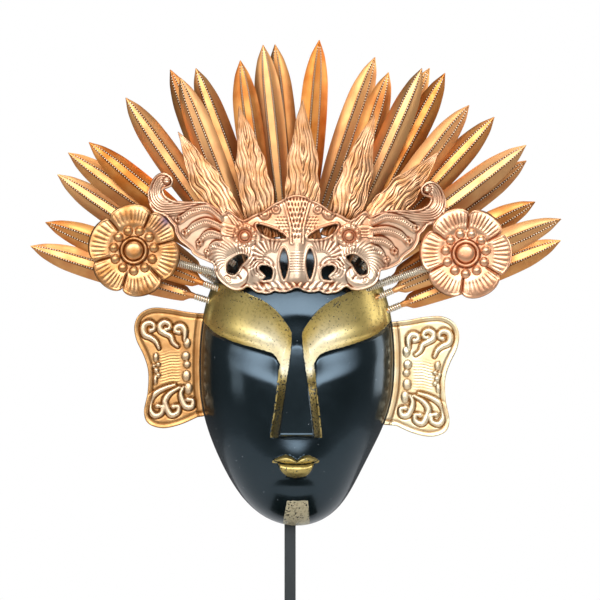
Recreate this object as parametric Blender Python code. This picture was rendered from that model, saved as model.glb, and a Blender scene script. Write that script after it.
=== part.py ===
# A carved wooden mask with a crown of metal leaves, feathers and flowers, standing on a rod.
# Metres, Z up, the face looks along -Y. The origin is on the underside of the stand's foot.

import math

import bmesh
import bpy
from mathutils import Matrix, Vector
from mathutils.geometry import delaunay_2d_cdt

# Driving dimensions, in metres
FIT_GAP = 0.0003
MASK_WIDTH = 0.140
MASK_HEIGHT = 0.205
MASK_DEPTH = 0.052
NOSE_RISE = 0.022
BRIDGE_DIP = 0.006
EYE_SCOOP = 0.008
LID_STEP = 0.0035
MOUTH_RISE = 0.005
LIP_RISE = 0.0035
RIM_WALL = 0.008

CHIN_HEIGHT = 0.095
MASK_BACK = 0.030
MASK_SIDE_SHIFT = 0.005
ROD_WIDTH = 0.008
PEG_LENGTH = 0.022
FOOT_WIDTH = 0.120
FOOT_DEPTH = 0.100
FOOT_THICKNESS = 0.016
FOOT_BEVEL = 0.002
ROD_SOCKET_DEPTH = 0.010

FEATHER_WIDTH = 0.0195
FEATHER_BAND = 0.0060
FEATHER_THICKNESS = 0.0008
FEATHER_FOLD = math.radians(32)
FEATHER_MOST_ROLL = math.radians(16)
FEATHER_AIR = 0.0008
FEATHER_NECK = 0.012
STEM_DIAMETER = 0.0050
STEM_SOCKET = 0.0055

LEAF_WIDTH = 0.0255
LEAF_THICKNESS = 0.0010
LEAF_RIDGE = 0.0014
LEAF_BASE_LEVEL = MASK_HEIGHT - 0.002
LEAF_LEAN = 0.010  # how far a tang comes forward from the wood to its leaf
LEAF_ROOT_PITCH = 0.0175
LEAF_SOCKET = 0.0055
TANG_DIAMETER = 0.0024

DIADEM_HALF_SPAN = 0.1065
DIADEM_THICKNESS = 0.0012
DIADEM_RELIEF = 0.0024
DIADEM_FOOT_LEVEL = MASK_HEIGHT * 0.82
DIADEM_LIFT_LEFT = 0.006
PIN_DIAMETER = 0.0026
PIN_SPREAD = 0.026
PIN_LEVEL = DIADEM_FOOT_LEVEL + 0.008
PIN_SOCKET = 0.005

FLOWER_RADIUS = 0.0325
FLOWER_THICKNESS = 0.0010
FLOWER_DOME = 0.0045
FLOWER_REACH = 0.116
FLOWER_LEVEL = DIADEM_FOOT_LEVEL + 0.0265
FLOWER_OFFSET = 0.002
SPRING_DIAMETER = 0.0058
SPRING_ROOT_ANGLES = {-1: math.radians(138), 1: math.radians(34)}
SPRING_SOCKET = 0.006

EAR_HEIGHT = 0.085
EAR_THICKNESS = 0.0010
EAR_RELIEF = 0.0016
EAR_DEPTH = 0.013
EAR_LEVEL = MASK_HEIGHT * 0.534
EAR_OFFSET = 0.003
EAR_TAB_WIDTH = 0.008
EAR_TAB_LENGTH = 0.005

# The face, as shares of the mask's half width (across) and of its height (up)
CROWN_POWER = 2.8
JAW_POWER = 2.0
JAW_TAPER_LEFT = 0.075
JAW_TAPER_RIGHT = 0.175
JAW_PLACE = -0.68
JAW_SPREAD = 0.42
DOME_FRONT = 3.0
DOME_EDGE = 2.2
BRIDGE_SHARE = 0.630
FUNNEL_TOP = 0.745  # where the hollow above the bridge has run out into the forehead
NOSE_TIP_SHARE = 0.336
NOSE_BASE_SHARE = 0.320
BROW_LINE = ((0.0, 0.625), (0.05, 0.673), (0.13, 0.717), (0.25, 0.761), (0.41, 0.795), (0.75, 0.839),
             (1.0, 0.85))
LID_LINE = ((0.0, 0.55), (0.14, 0.556), (0.22, 0.597), (0.30, 0.611), (0.57, 0.637), (0.73, 0.657),
            (0.85, 0.680), (1.0, 0.73))
NOSE_FRONT = ((0.33, 0.178), (0.44, 0.125), (0.55, 0.075), (0.615, 0.050), (0.66, 0.040))
NOSE_SIDE = ((0.33, 0.263), (0.44, 0.207), (0.55, 0.165), (0.615, 0.120), (0.66, 0.090))
UPPER_LIP = ((0.0, 0.2405), (0.06, 0.254), (0.12, 0.2595), (0.19, 0.252), (0.255, 0.2424))
MOUTH_LINE = ((0.0, 0.229), (0.12, 0.2295), (0.20, 0.2345), (0.255, 0.2424))
LOWER_LIP = ((0.0, 0.181), (0.10, 0.187), (0.17, 0.205), (0.205, 0.232))

# Left to right: depth row (0 at the back), place on the crown's arc, heading, length in mm, roll;
# angles in degrees, counted from the wearer's left side upwards
FEATHERS = (
    (1, 158, 163, 132, 10), (2, 149, 159, 130, -12), (0, 146, 146, 135, 12), (1, 134, 145, 138, 5),
    (2, 131, 140, 134, 15), (1, 127, 125, 137, 0), (0, 122, 112, 138, -16), (2, 121, 111, 134, -14),
    (1, 112, 110, 133, 4), (2, 109, 98, 134, 10), (1, 98, 96, 140, 6), (0, 93, 95, 139, -16),
    (2, 85, 86, 146, 15), (0, 81, 71, 137, 14), (1, 67, 73, 128, 8), (2, 63, 66, 142, -14),
    (0, 67, 62, 141, 10), (1, 58, 62, 143, -8), (2, 54, 53, 136, 12), (1, 50, 47, 138, -12),
    (2, 46, 37, 144, -6), (0, 40, 36, 134, 10), (1, 32, 28, 125, 14), (2, 26, 23, 139, 12),
    (1, 16, 22, 132, -10),
)
CROWN_ARC_LEVEL = MASK_HEIGHT * 0.66

# Left to right: tip across and above the mask in mm, heading of the blade in degrees, depth row (0 behind)
LEAVES = ((-85, 74, 120, 1), (-41, 92, 101, 0), (4, 96, 90, 1), (55, 87, 74, 0), (102, 60, 47, 1))


def smooth_step(start, end, value):
    share = min(max((value - start) / (end - start), 0.0), 1.0)
    return share * share * (3.0 - 2.0 * share)


def curve_at(points, x):
    # Height at x of a smooth curve through hand-set points, level beyond its ends
    x = min(max(x, points[0][0]), points[-1][0])
    last = len(points) - 1
    i = 0
    while i < last - 1 and x > points[i + 1][0]:
        i += 1
    slopes = []
    for k in (i, i + 1):
        before = points[max(k - 1, 0)]
        after = points[min(k + 1, last)]
        slopes.append((after[1] - before[1]) / (after[0] - before[0]))
    span = points[i + 1][0] - points[i][0]
    u = (x - points[i][0]) / span
    return ((2 * u**3 - 3 * u**2 + 1) * points[i][1] + (u**3 - 2 * u**2 + u) * span * slopes[0]
            + (3 * u**2 - 2 * u**3) * points[i + 1][1] + (u**3 - u**2) * span * slopes[1])


def make_material(name, colour, roughness, metallic):
    material = bpy.data.materials.new(name)
    material.use_nodes = True
    shader = material.node_tree.nodes["Principled BSDF"]
    shader.inputs["Base Color"].default_value = (*colour, 1.0)
    shader.inputs["Roughness"].default_value = roughness
    shader.inputs["Metallic"].default_value = metallic
    return material


def add_part(name, vertices, faces, material, parent=None):
    mesh = bpy.data.meshes.new(name)
    mesh.from_pydata([tuple(v) for v in vertices], [], faces)
    shell = bmesh.new()
    shell.from_mesh(mesh)
    bmesh.ops.recalc_face_normals(shell, faces=shell.faces)
    shell.to_mesh(mesh)
    shell.free()
    mesh.materials.append(material)
    part = bpy.data.objects.new(name, mesh)
    part.parent = parent
    bpy.context.collection.objects.link(part)
    return part


def add_boolean(part, operand, operation):
    operand.hide_render = True
    operand.display_type = "WIRE"
    step = part.modifiers.new(operation.lower(), "BOOLEAN")
    step.operation = operation
    step.solver = "EXACT"
    step.object = operand


def loft(rings):
    # Vertices and faces of a closed tube through rings of equal size
    vertices = [point for ring in rings for point in ring]
    size = len(rings[0])
    faces = [list(range(size)), [len(vertices) - 1 - i for i in range(size)]]
    for r in range(len(rings) - 1):
        for i in range(size):
            j = (i + 1) % size
            faces.append([r * size + i, r * size + j, (r + 1) * size + j, (r + 1) * size + i])
    return vertices, faces


def joined(pieces):
    # Several closed shapes as one list of vertices and faces
    vertices = []
    faces = []
    for piece_vertices, piece_faces in pieces:
        start = len(vertices)
        vertices.extend(piece_vertices)
        faces.extend([[start + i for i in face] for face in piece_faces])
    return vertices, faces


def ring_around(centre, across, out, radius, sides=6):
    return [centre + across * (radius * math.cos(math.pi - 2 * math.pi * i / sides))
            + out * (radius * math.sin(math.pi - 2 * math.pi * i / sides)) for i in range(sides)]


def widened(radius, sides=6):
    # Radius of the socket that leaves FIT_GAP between its flat sides and those of the stem
    return radius + FIT_GAP / math.cos(math.pi / sides)


# The mask's form

def rim_power(up):
    return CROWN_POWER if up > 0.5 else JAW_POWER


def rim_ratio(across, up):
    # 0 at the middle of the face, 1 on its outline
    power = rim_power(up)
    return (across**power + abs(2.0 * up - 1.0) ** power) ** (1.0 / power)


def half_width(side, up):
    # What a whole share across measures on either side; the carving is slimmer at the jaw
    taper = JAW_TAPER_RIGHT if side > 0 else JAW_TAPER_LEFT
    return MASK_WIDTH / 2 * (1.0 - taper * math.exp(-((2.0 * up - 1.0 - JAW_PLACE) / JAW_SPREAD) ** 2))


def wood_ratio(x, z):
    up = z / MASK_HEIGHT
    return rim_ratio(abs(x) / half_width(x, up), up)


def wood_edge(side, z, depth):
    # How far out the wood reaches to this side, at this height and depth
    up = z / MASK_HEIGHT
    power = rim_power(up)
    span = max(ratio_at_depth(depth) ** power - abs(2.0 * up - 1.0) ** power, 0.0)
    return span ** (1.0 / power) * half_width(side, up)


def dome(ratio, depth):
    return depth * max(1.0 - ratio**DOME_FRONT, 0.0) ** (1.0 / DOME_EDGE)


def ratio_at_depth(depth):
    # Where on the way out to the rim the dome has come down to this depth
    return (1.0 - (depth / MASK_DEPTH) ** DOME_EDGE) ** (1.0 / DOME_FRONT)


def eye_relief(across, up):
    # The eye's hollow and the step under its lid start beside the nose and leave the bridge smooth
    lid = curve_at(LID_LINE, across)
    brow = curve_at(BROW_LINE, across)
    if up >= brow:
        return 0.0
    if up >= lid:
        share = (up - lid) / (brow - lid)
        beside = smooth_step(0.0, 0.05, across - curve_at(NOSE_FRONT, up))
        return -EYE_SCOOP * math.sin(math.pi * share**0.8) * beside
    beside = smooth_step(-0.02, 0.05, across - curve_at(NOSE_SIDE, up))
    return -LID_STEP * (1.0 - smooth_step(0.0, 0.11, lid - up)) * beside


def lip_relief(across, up):
    if across >= MOUTH_LINE[-1][0]:
        return 0.0
    mouth = curve_at(MOUTH_LINE, across)
    top = curve_at(UPPER_LIP, across)
    bottom = curve_at(LOWER_LIP, across)
    if mouth < up < top:
        return LIP_RISE * math.sin(math.pi * (up - mouth) / (top - mouth)) ** 0.6
    if bottom < up < mouth and across < LOWER_LIP[-1][0]:
        return 1.2 * LIP_RISE * math.sin(math.pi * (up - bottom) / (mouth - bottom)) ** 0.6
    return 0.0


def nose_ridge(up):
    climb = min(max((BRIDGE_SHARE - up) / (BRIDGE_SHARE - NOSE_TIP_SHARE), 0.0), 1.0)
    return -BRIDGE_DIP + (NOSE_RISE + BRIDGE_DIP) * climb**1.25


def face_relief(across, up):
    funnel = 1.0 - smooth_step(BRIDGE_SHARE, FUNNEL_TOP, up)
    funnel *= smooth_step(0.50, BRIDGE_SHARE, up) * math.exp(-(across / 0.22) ** 2)
    muzzle = math.exp(-(across / 0.32) ** 2 - ((up - 0.225) / 0.09) ** 2)
    chin_groove = math.exp(-(across / 0.25) ** 2 - ((up - 0.150) / 0.022) ** 2)
    relief = eye_relief(across, up) - BRIDGE_DIP * funnel
    relief += MOUTH_RISE * muzzle - 0.4 * LIP_RISE * chin_groove + lip_relief(across, up)
    if NOSE_BASE_SHARE - 0.006 < up < NOSE_FRONT[-1][0]:
        front = curve_at(NOSE_FRONT, up)
        side = curve_at(NOSE_SIDE, up)
        slope = min(max((across - front) / (side - front), 0.0), 1.0)
        under = smooth_step(NOSE_BASE_SHARE - 0.006, NOSE_TIP_SHARE - 0.006, up)
        fade = 1.0 - smooth_step(BRIDGE_SHARE - 0.02, NOSE_FRONT[-1][0], up)
        ridge = nose_ridge(up) * under * (1.0 - slope) + relief * slope
        relief += (max(ridge, relief) - relief) * fade
    return relief * (1.0 - smooth_step(0.90, 1.0, rim_ratio(across, up)))


def front_depth(x, z):
    up = z / MASK_HEIGHT
    across = abs(x) / half_width(x, up)
    ratio = rim_ratio(across, up)
    if ratio >= 1.0:
        return 0.0
    return dome(ratio, MASK_DEPTH) + face_relief(across, up)


# The mask's outer face is a grid. Its rows follow six key rows from the chin to the crown:
# the rim of the chin, the mouth, the nose's base, the lower lids, the brows and the rim of the crown.
# Each key row gives three inner columns and its end, across, and its height where it is level.
KEY_COLUMNS = ((0.08, 0.16, 0.26, 0.53), (0.075, 0.135, 0.255, 0.90), (0.09, 0.178, 0.263, 0.975),
               (0.035, 0.070, 0.150, 0.985), (0.022, 0.055, 0.140, 0.86), (0.12, 0.24, 0.36, 0.72))
ROW_STEPS = (
    (0.0, 0.03, 0.10, 0.22, 0.36, 0.50, 0.64, 0.74, 0.79, 0.86, 0.93),
    (0.0, 0.08, 0.20, 0.33, 0.55, 0.85),
    (0.0, 0.045, 0.12, 0.28, 0.46, 0.64, 0.80, 0.90, 0.945),
    (0.0, 0.20, 0.40, 0.60, 0.80),
    (0.0, 0.12, 0.28, 0.45, 0.62, 0.78, 0.90, 0.965, 1.0),
)
OUTER_COLUMNS = (0.14, 0.30, 0.46, 0.60, 0.73, 0.84, 0.92, 0.97, 1.0)
MOUTH_SHARE = 0.229


def key_height(key, across):
    if key == 0:
        return (1.0 - (1.0 - across**JAW_POWER) ** (1.0 / JAW_POWER)) / 2
    if key == 1:
        return MOUTH_SHARE
    if key == 2:
        return NOSE_BASE_SHARE
    if key == 3:
        return curve_at(LID_LINE, across)
    if key == 4:
        return curve_at(BROW_LINE, across)
    return (1.0 + (1.0 - across**CROWN_POWER) ** (1.0 / CROWN_POWER)) / 2


def key_row(key):
    # Points from the middle to one end of a key row
    inner = KEY_COLUMNS[key][:3]
    end = KEY_COLUMNS[key][3]
    across = [0.0, *inner] + [inner[2] + (end - inner[2]) * share for share in OUTER_COLUMNS]
    return [Vector((s, key_height(key, s))) for s in across]


def grid_rows():
    # Half rows of (across, up), each stretched so that its end lies on the outline
    rows = []
    middle = Vector((0.0, 0.5))
    for key, steps in enumerate(ROW_STEPS):
        lower = key_row(key)
        upper = key_row(key + 1)
        for step in steps:
            row = [a.lerp(b, step) for a, b in zip(lower, upper)]
            on_rim = (key == 0 and step == 0.0) or (key == len(ROW_STEPS) - 1 and step == 1.0)
            stretch = 1.0 / rim_ratio(row[-1].x, row[-1].y)
            fitted = []
            for i, point in enumerate(row):
                blend = (i / (len(row) - 1)) ** 4
                factor = 1.0 / rim_ratio(point.x, point.y) if on_rim else 1.0 + (stretch - 1.0) * blend
                fitted.append(middle + (point - middle) * factor)
            rows.append(fitted)
    return rows


def front_point(place, on_rim):
    x = place.x * half_width(place.x, place.y)
    z = place.y * MASK_HEIGHT
    return Vector((x, 0.0 if on_rim else -front_depth(x, z), z))


def triangles_between(outer, inner):
    # Triangles of the flat ring between two closed outlines, as indices into outer + inner
    points = outer + inner
    edges = [(i, (i + 1) % len(outer)) for i in range(len(outer))]
    edges += [(len(outer) + i, len(outer) + (i + 1) % len(inner)) for i in range(len(inner))]
    _, _, faces, sources, _, _ = delaunay_2d_cdt(points, edges, [], 1, 1e-7)
    found = []
    for face in faces:
        corners = [sources[i][0] for i in face]
        middle = sum((points[i] for i in corners), Vector((0.0, 0.0))) / len(corners)
        if not inside(middle, inner):
            found.append(corners)
    return found


def inside(point, outline):
    crossed = False
    for i, a in enumerate(outline):
        b = outline[i - 1]
        if (a.y > point.y) != (b.y > point.y):
            if point.x < (b.x - a.x) * (point.y - a.y) / (b.y - a.y) + a.x:
                crossed = not crossed
    return crossed


INNER_SIDES = 30
INNER_RINGS = (1.0, 0.985, 0.94, 0.84, 0.66, 0.38)


def hollow_ratio_point(angle, ratio):
    # A point inside the hollow, at a share of the way out to its edge; across and up in metres
    direction = Vector((math.cos(angle), math.sin(angle)))
    direction /= rim_ratio(abs(direction.x), 0.5 + direction.y / 2)
    width = half_width(direction.x, 0.5 + direction.y / 2) - RIM_WALL
    height = MASK_HEIGHT / 2 - RIM_WALL
    return Vector((direction.x * ratio * width, MASK_HEIGHT / 2 + direction.y * ratio * height))


def hollow_depth():
    return MASK_DEPTH - EYE_SCOOP - BRIDGE_DIP - RIM_WALL + FIT_GAP


def ring_height(x, ratio):
    # Height of the upper side of one of the hollow's rings, x to one side
    left = hollow_ratio_point(math.pi / 2, ratio)
    for i in range(INNER_SIDES // 4):
        right = hollow_ratio_point(math.pi / 2 - math.pi * (2 * i + 1) / INNER_SIDES, ratio)
        if i == 0:
            left.y = right.y
        if right.x >= x:
            break
        left = right
    return left.y + (right.y - left.y) * (x - left.x) / (right.x - left.x)


def hollow_top(x, depth):
    # Height of the hollow's upper wall, x to one side and this deep in from the back
    near_depth, near_height = 0.0, ring_height(x, 1.0)
    for ratio in INNER_RINGS[1:]:
        far_depth, far_height = dome(ratio, hollow_depth()), ring_height(x, ratio)
        if far_depth >= depth:
            break
        near_depth, near_height = far_depth, far_height
    share = (depth - near_depth) / (far_depth - near_depth)
    return near_height + (far_height - near_height) * share


def make_mask(material, frame):
    rows = grid_rows()
    vertices = []
    grid = []
    for r, row in enumerate(rows):
        line = []
        for i in range(-(len(row) - 1), len(row)):
            place = row[abs(i)].copy()
            place.x = math.copysign(place.x, i)
            on_rim = r in (0, len(rows) - 1) or abs(i) == len(row) - 1
            line.append(len(vertices))
            vertices.append(front_point(place, on_rim))
        grid.append(line)
    faces = []
    for low, high in zip(grid, grid[1:]):
        for i in range(len(low) - 1):
            faces.append([low[i], low[i + 1], high[i + 1], high[i]])
    rim = grid[0] + [line[-1] for line in grid[1:-1]] + grid[-1][::-1] + [line[0] for line in grid[-2:0:-1]]

    rings = []
    for ratio in INNER_RINGS:
        ring = []
        for k in range(INNER_SIDES):
            place = hollow_ratio_point(2 * math.pi * k / INNER_SIDES, ratio)
            ring.append(len(vertices))
            vertices.append(Vector((place.x, -dome(ratio, hollow_depth()), place.y)))
        rings.append(ring)
    for a, b in zip(rings, rings[1:]):
        for k in range(INNER_SIDES):
            n = (k + 1) % INNER_SIDES
            faces.append([a[k], a[n], b[n], b[k]])
    vertices.append(Vector((0.0, -hollow_depth(), MASK_HEIGHT / 2)))
    for k in range(INNER_SIDES):
        faces.append([rings[-1][k], rings[-1][(k + 1) % INNER_SIDES], len(vertices) - 1])

    loop = rim + rings[0]
    outer = [vertices[i].xz for i in rim]
    inner = [vertices[i].xz for i in rings[0]]
    faces += [[loop[i] for i in triangle] for triangle in triangles_between(outer, inner)]
    return add_part("wooden_mask", vertices, faces, material, frame)


# Where the crown's pieces enter the wood

def surface_point(angle, depth, level):
    # Where a ray in the plane at this depth, from the middle of the crown's arc, leaves the wood
    direction = Vector((math.cos(angle), math.sin(angle)))
    target = ratio_at_depth(depth)
    near, far = 0.0, MASK_HEIGHT
    for _ in range(40):
        reach = (near + far) / 2
        x = direction.x * reach
        z = level + direction.y * reach
        if wood_ratio(x, z) < target:
            near = reach
        else:
            far = reach
    return Vector((direction.x * near, -depth, level + direction.y * near))


def socket_cutter(mouth, direction, radius, depth):
    # A six-sided hole from well outside the wood down to this depth below the mouth
    across, out = frame_of(direction)
    wide = widened(radius)
    rings = [ring_around(mouth - direction * (depth + FIT_GAP), across, out, wide),
             ring_around(mouth + direction * (depth + 0.003), across, out, wide)]
    return loft(rings)


def frame_of(direction, roll=0.0):
    # Sideways and forward directions of a piece that points along direction, turned about it
    out = Vector((0.0, -1.0, 0.0))
    out = (out - direction * out.dot(direction)).normalized()
    across = out.cross(direction).normalized() * -1.0
    turn = Matrix.Rotation(roll, 3, direction)
    return turn @ across, turn @ out


# Feathers

def flank_width():
    return (FEATHER_WIDTH - FEATHER_BAND) / 2 / math.cos(FEATHER_FOLD)


def fold_rise():
    return flank_width() * math.sin(FEATHER_FOLD)


def feather_front_reach():
    return FEATHER_BAND / 2 * math.sin(FEATHER_MOST_ROLL) + fold_rise() / 2


def feather_back_reach():
    return FEATHER_WIDTH / 2 * math.sin(FEATHER_MOST_ROLL) + fold_rise() / 2


def feather_row_depth(row):
    pitch = feather_front_reach() + feather_back_reach() + FEATHER_AIR
    return max(feather_back_reach(), STEM_DIAMETER) + FEATHER_AIR + row * pitch


def feather_front():
    # Depth in front of every feather
    return feather_row_depth(2) + feather_front_reach() + FEATHER_AIR


FEATHER_STATIONS = ((0.0, 0.48), (0.12, 0.70), (0.45, 1.0), (0.76, 0.94), (0.91, 0.56), (1.0, 0.03))


def feather_shape(root, direction, length, roll):
    across, out = frame_of(direction, roll)
    radius = STEM_DIAMETER / 2
    rings = [ring_around(root - direction * STEM_SOCKET, across, out, radius),
             ring_around(root + direction * (FEATHER_NECK - radius), across, out, radius)]
    band = FEATHER_BAND / 2
    for share, width in FEATHER_STATIONS:
        centre = root + direction * (FEATHER_NECK + (length - FEATHER_NECK) * share)
        front = centre + out * (fold_rise() / 2 * width)
        flank = across * (flank_width() * math.cos(FEATHER_FOLD) * width) - out * (fold_rise() * width)
        mirrored = across * (-flank_width() * math.cos(FEATHER_FOLD) * width) - out * (fold_rise() * width)
        back = front - out * (FEATHER_THICKNESS * max(width, 0.3))
        fold = across * (band * width)
        rings.append([front - fold + mirrored, front - fold, front + fold, front + fold + flank,
                      back + fold, back - fold])
    return loft(rings)


def make_feathers(material, frame):
    sockets = []
    for number, (row, place, heading, length, roll) in enumerate(FEATHERS, start=1):
        depth = feather_row_depth(row)
        root = surface_point(math.radians(place), depth, CROWN_ARC_LEVEL)
        angle = math.radians(heading)
        direction = Vector((math.cos(angle), 0.0, math.sin(angle)))
        vertices, faces = feather_shape(root, direction, length / 1000, math.radians(roll))
        add_part(f"feather_{number:02d}", vertices, faces, material, frame)
        sockets.append(socket_cutter(root, direction, STEM_DIAMETER / 2, STEM_SOCKET))
    return sockets


# The diadem is drawn flat and bent around an upright cylinder, and so are the leaves behind it

def diadem_depth():
    # Depth of the flat drawing's middle: the plate just clears the forehead behind its lower edge
    lowest = DIADEM_FOOT_LEVEL + DIADEM_HALF_SPAN * min(up for _, up in DIADEM_OUTLINE)
    most = 0.0
    for i in range(9):
        for k in range(7):
            x = DIADEM_HALF_SPAN * 0.5 * i / 8
            z = lowest + (MASK_HEIGHT - lowest) * k / 6
            most = max(most, front_depth(x, z))
    return most + DIADEM_THICKNESS + FIT_GAP


WING_AIR = 0.0035


def bend_radius():
    sag = max(diadem_depth() - DIADEM_THICKNESS - feather_front() - WING_AIR, 0.001)
    return (DIADEM_HALF_SPAN**2 + sag**2) / (2 * sag)


def bent(x, z, forward):
    # A point of the flat drawing, at x along the plate and forward of it, on the bent plate
    radius = bend_radius()
    angle = x / radius
    reach = radius + forward
    return Vector((math.sin(angle) * reach, radius - diadem_depth() - math.cos(angle) * reach, z))


# Half of the diadem's outline, from the middle of its top round to the middle of its foot, and its holes,
# as shares of the half span: across, and up from the foot
DIADEM_OUTLINE = (
    (0.0, 0.625), (0.05, 0.615), (0.11, 0.585), (0.16, 0.562), (0.22, 0.520), (0.29, 0.490), (0.35, 0.460),
    (0.40, 0.490), (0.455, 0.520), (0.485, 0.485), (0.53, 0.503), (0.60, 0.522), (0.68, 0.527),
    (0.76, 0.527), (0.82, 0.535), (0.87, 0.560), (0.890, 0.600), (0.865, 0.612), (0.830, 0.632),
    (0.825, 0.672), (0.855, 0.705), (0.90, 0.718), (0.945, 0.698), (0.98, 0.650), (1.0, 0.580),
    (0.993, 0.515), (0.965, 0.46), (0.92, 0.434), (0.875, 0.422), (0.845, 0.385), (0.820, 0.360),
    (0.810, 0.315), (0.780, 0.265),
    (0.740, 0.235), (0.705, 0.205), (0.690, 0.180), (0.640, 0.150), (0.585, 0.130), (0.553, 0.122),
    (0.545, 0.085), (0.520, 0.040), (0.47, 0.010), (0.41, -0.006), (0.36, -0.002), (0.322, 0.018),
    (0.28, -0.008), (0.235, -0.022), (0.185, -0.026), (0.145, -0.010), (0.10, -0.018), (0.05, -0.012),
    (0.0, 0.008),
)
DIADEM_HOLES = (
    ((0.075, 0.340), (0.145, 0.395), (0.26, 0.425), (0.20, 0.350)),
    ((0.085, 0.270), (0.112, 0.180), (0.085, 0.070), (0.060, 0.170)),
    ((0.165, 0.140), (0.225, 0.160), (0.245, 0.135), (0.205, 0.090), (0.225, 0.065), (0.170, 0.075)),
    ((0.325, 0.215), (0.385, 0.225), (0.450, 0.175), (0.455, 0.110), (0.405, 0.105), (0.365, 0.165)),
)
# Crest lines of the wings' bands, from the rosette outwards
DIADEM_BANDS = (
    ((0.50, 0.465), (0.59, 0.500), (0.69, 0.478), (0.775, 0.425)),
    ((0.50, 0.405), (0.60, 0.412), (0.69, 0.378), (0.730, 0.335)),
    ((0.50, 0.345), (0.565, 0.342), (0.62, 0.308), (0.650, 0.260)),
    ((0.49, 0.290), (0.54, 0.275), (0.575, 0.235), (0.585, 0.195)),
)
ROSETTE = (0.338, 0.350)
SCROLL = (0.415, 0.165)


def diadem_relief(across, up):
    # Height of the chased forms above the plate, 0 to 1
    across = abs(across)
    nose = math.exp(-(across / 0.045) ** 2) * smooth_step(0.66, 0.50, up)
    rosette = math.exp(-(math.hypot(across - ROSETTE[0], up - ROSETTE[1]) / 0.055) ** 2)
    ring = math.exp(-((math.hypot(across - SCROLL[0], (up - SCROLL[1]) * 0.9) - 0.110) / 0.035) ** 2)
    horn = smooth_step(0.70, 0.90, across) * smooth_step(0.42, 0.56, up) * 0.6
    bands = 0.0
    for band in DIADEM_BANDS:
        if band[0][0] - 0.02 <= across <= band[-1][0] + 0.03:
            bands = max(bands, math.exp(-((up - curve_at(band, across)) / 0.020) ** 2))
    return max(nose, rosette, ring, horn, bands * 0.8)


def plate(outline, holes, marks, spacing, place, relief, thickness):
    # A chased plate with pierced holes: place puts a flat point and its height in space,
    # relief gives the height of the front, marks are extra points that follow its crests
    points = list(outline)
    edges = [(i, (i + 1) % len(outline)) for i in range(len(outline))]
    for hole in holes:
        start = len(points)
        points += hole
        edges += [(start + i, start + (i + 1) % len(hole)) for i in range(len(hole))]
    points += [mark for mark in marks if free_of(mark, points, spacing * 0.4)]
    low = Vector((min(p.x for p in outline), min(p.y for p in outline)))
    high = Vector((max(p.x for p in outline), max(p.y for p in outline)))
    row = 0
    y = low.y + spacing / 2
    while y < high.y:
        x = low.x + spacing / 2 * (1 + row % 2)
        while x < high.x:
            point = Vector((x, y))
            clear = inside(point, outline) and not any(inside(point, hole) for hole in holes)
            if clear and free_of(point, points, spacing * 0.75):
                points.append(point)
            x += spacing
        y += spacing * 0.87
        row += 1
    flat, _, triangles, _, _, _ = delaunay_2d_cdt(points, edges, [], 1, 1e-7)
    kept = []
    for triangle in triangles:
        middle = sum((flat[i] for i in triangle), Vector((0.0, 0.0))) / 3
        if not any(inside(middle, hole) for hole in holes):
            kept.append(list(triangle))
    front = [place(p.x, p.y, relief(p.x, p.y)) for p in flat]
    back = [place(p.x, p.y, relief(p.x, p.y) - thickness) for p in flat]
    count = len(flat)
    faces = kept + [[count + i for i in reversed(triangle)] for triangle in kept]
    uses = {}
    for triangle in kept:
        for a, b in zip(triangle, triangle[1:] + triangle[:1]):
            uses[(a, b)] = True
    for a, b in uses:
        if (b, a) not in uses:
            faces.append([b, a, count + a, count + b])
    return front + back, faces


def free_of(point, points, distance):
    return all((point - other).length > distance for other in points)


def rounded(points, steps):
    # A closed outline through hand-set points, smoothed, with a few points for each of them
    found = []
    size = len(points)
    for i in range(size):
        p0, p1, p2, p3 = (Vector(points[(i + k) % size]) for k in (-1, 0, 1, 2))
        for step in range(steps):
            u = step / steps
            found.append(((2 * p1) + (p2 - p0) * u + (2 * p0 - 5 * p1 + 4 * p2 - p3) * u * u
                          + (3 * p1 - p0 - 3 * p2 + p3) * u**3) / 2)
    return found


def wing_lift(x):
    # One wing stands a little higher than the other
    return DIADEM_LIFT_LEFT * smooth_step(0.40, 0.62, -x / DIADEM_HALF_SPAN)


def diadem_point(across, up, side):
    x = side * across * DIADEM_HALF_SPAN
    return Vector((x, DIADEM_FOOT_LEVEL + up * DIADEM_HALF_SPAN + wing_lift(x)))


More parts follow.
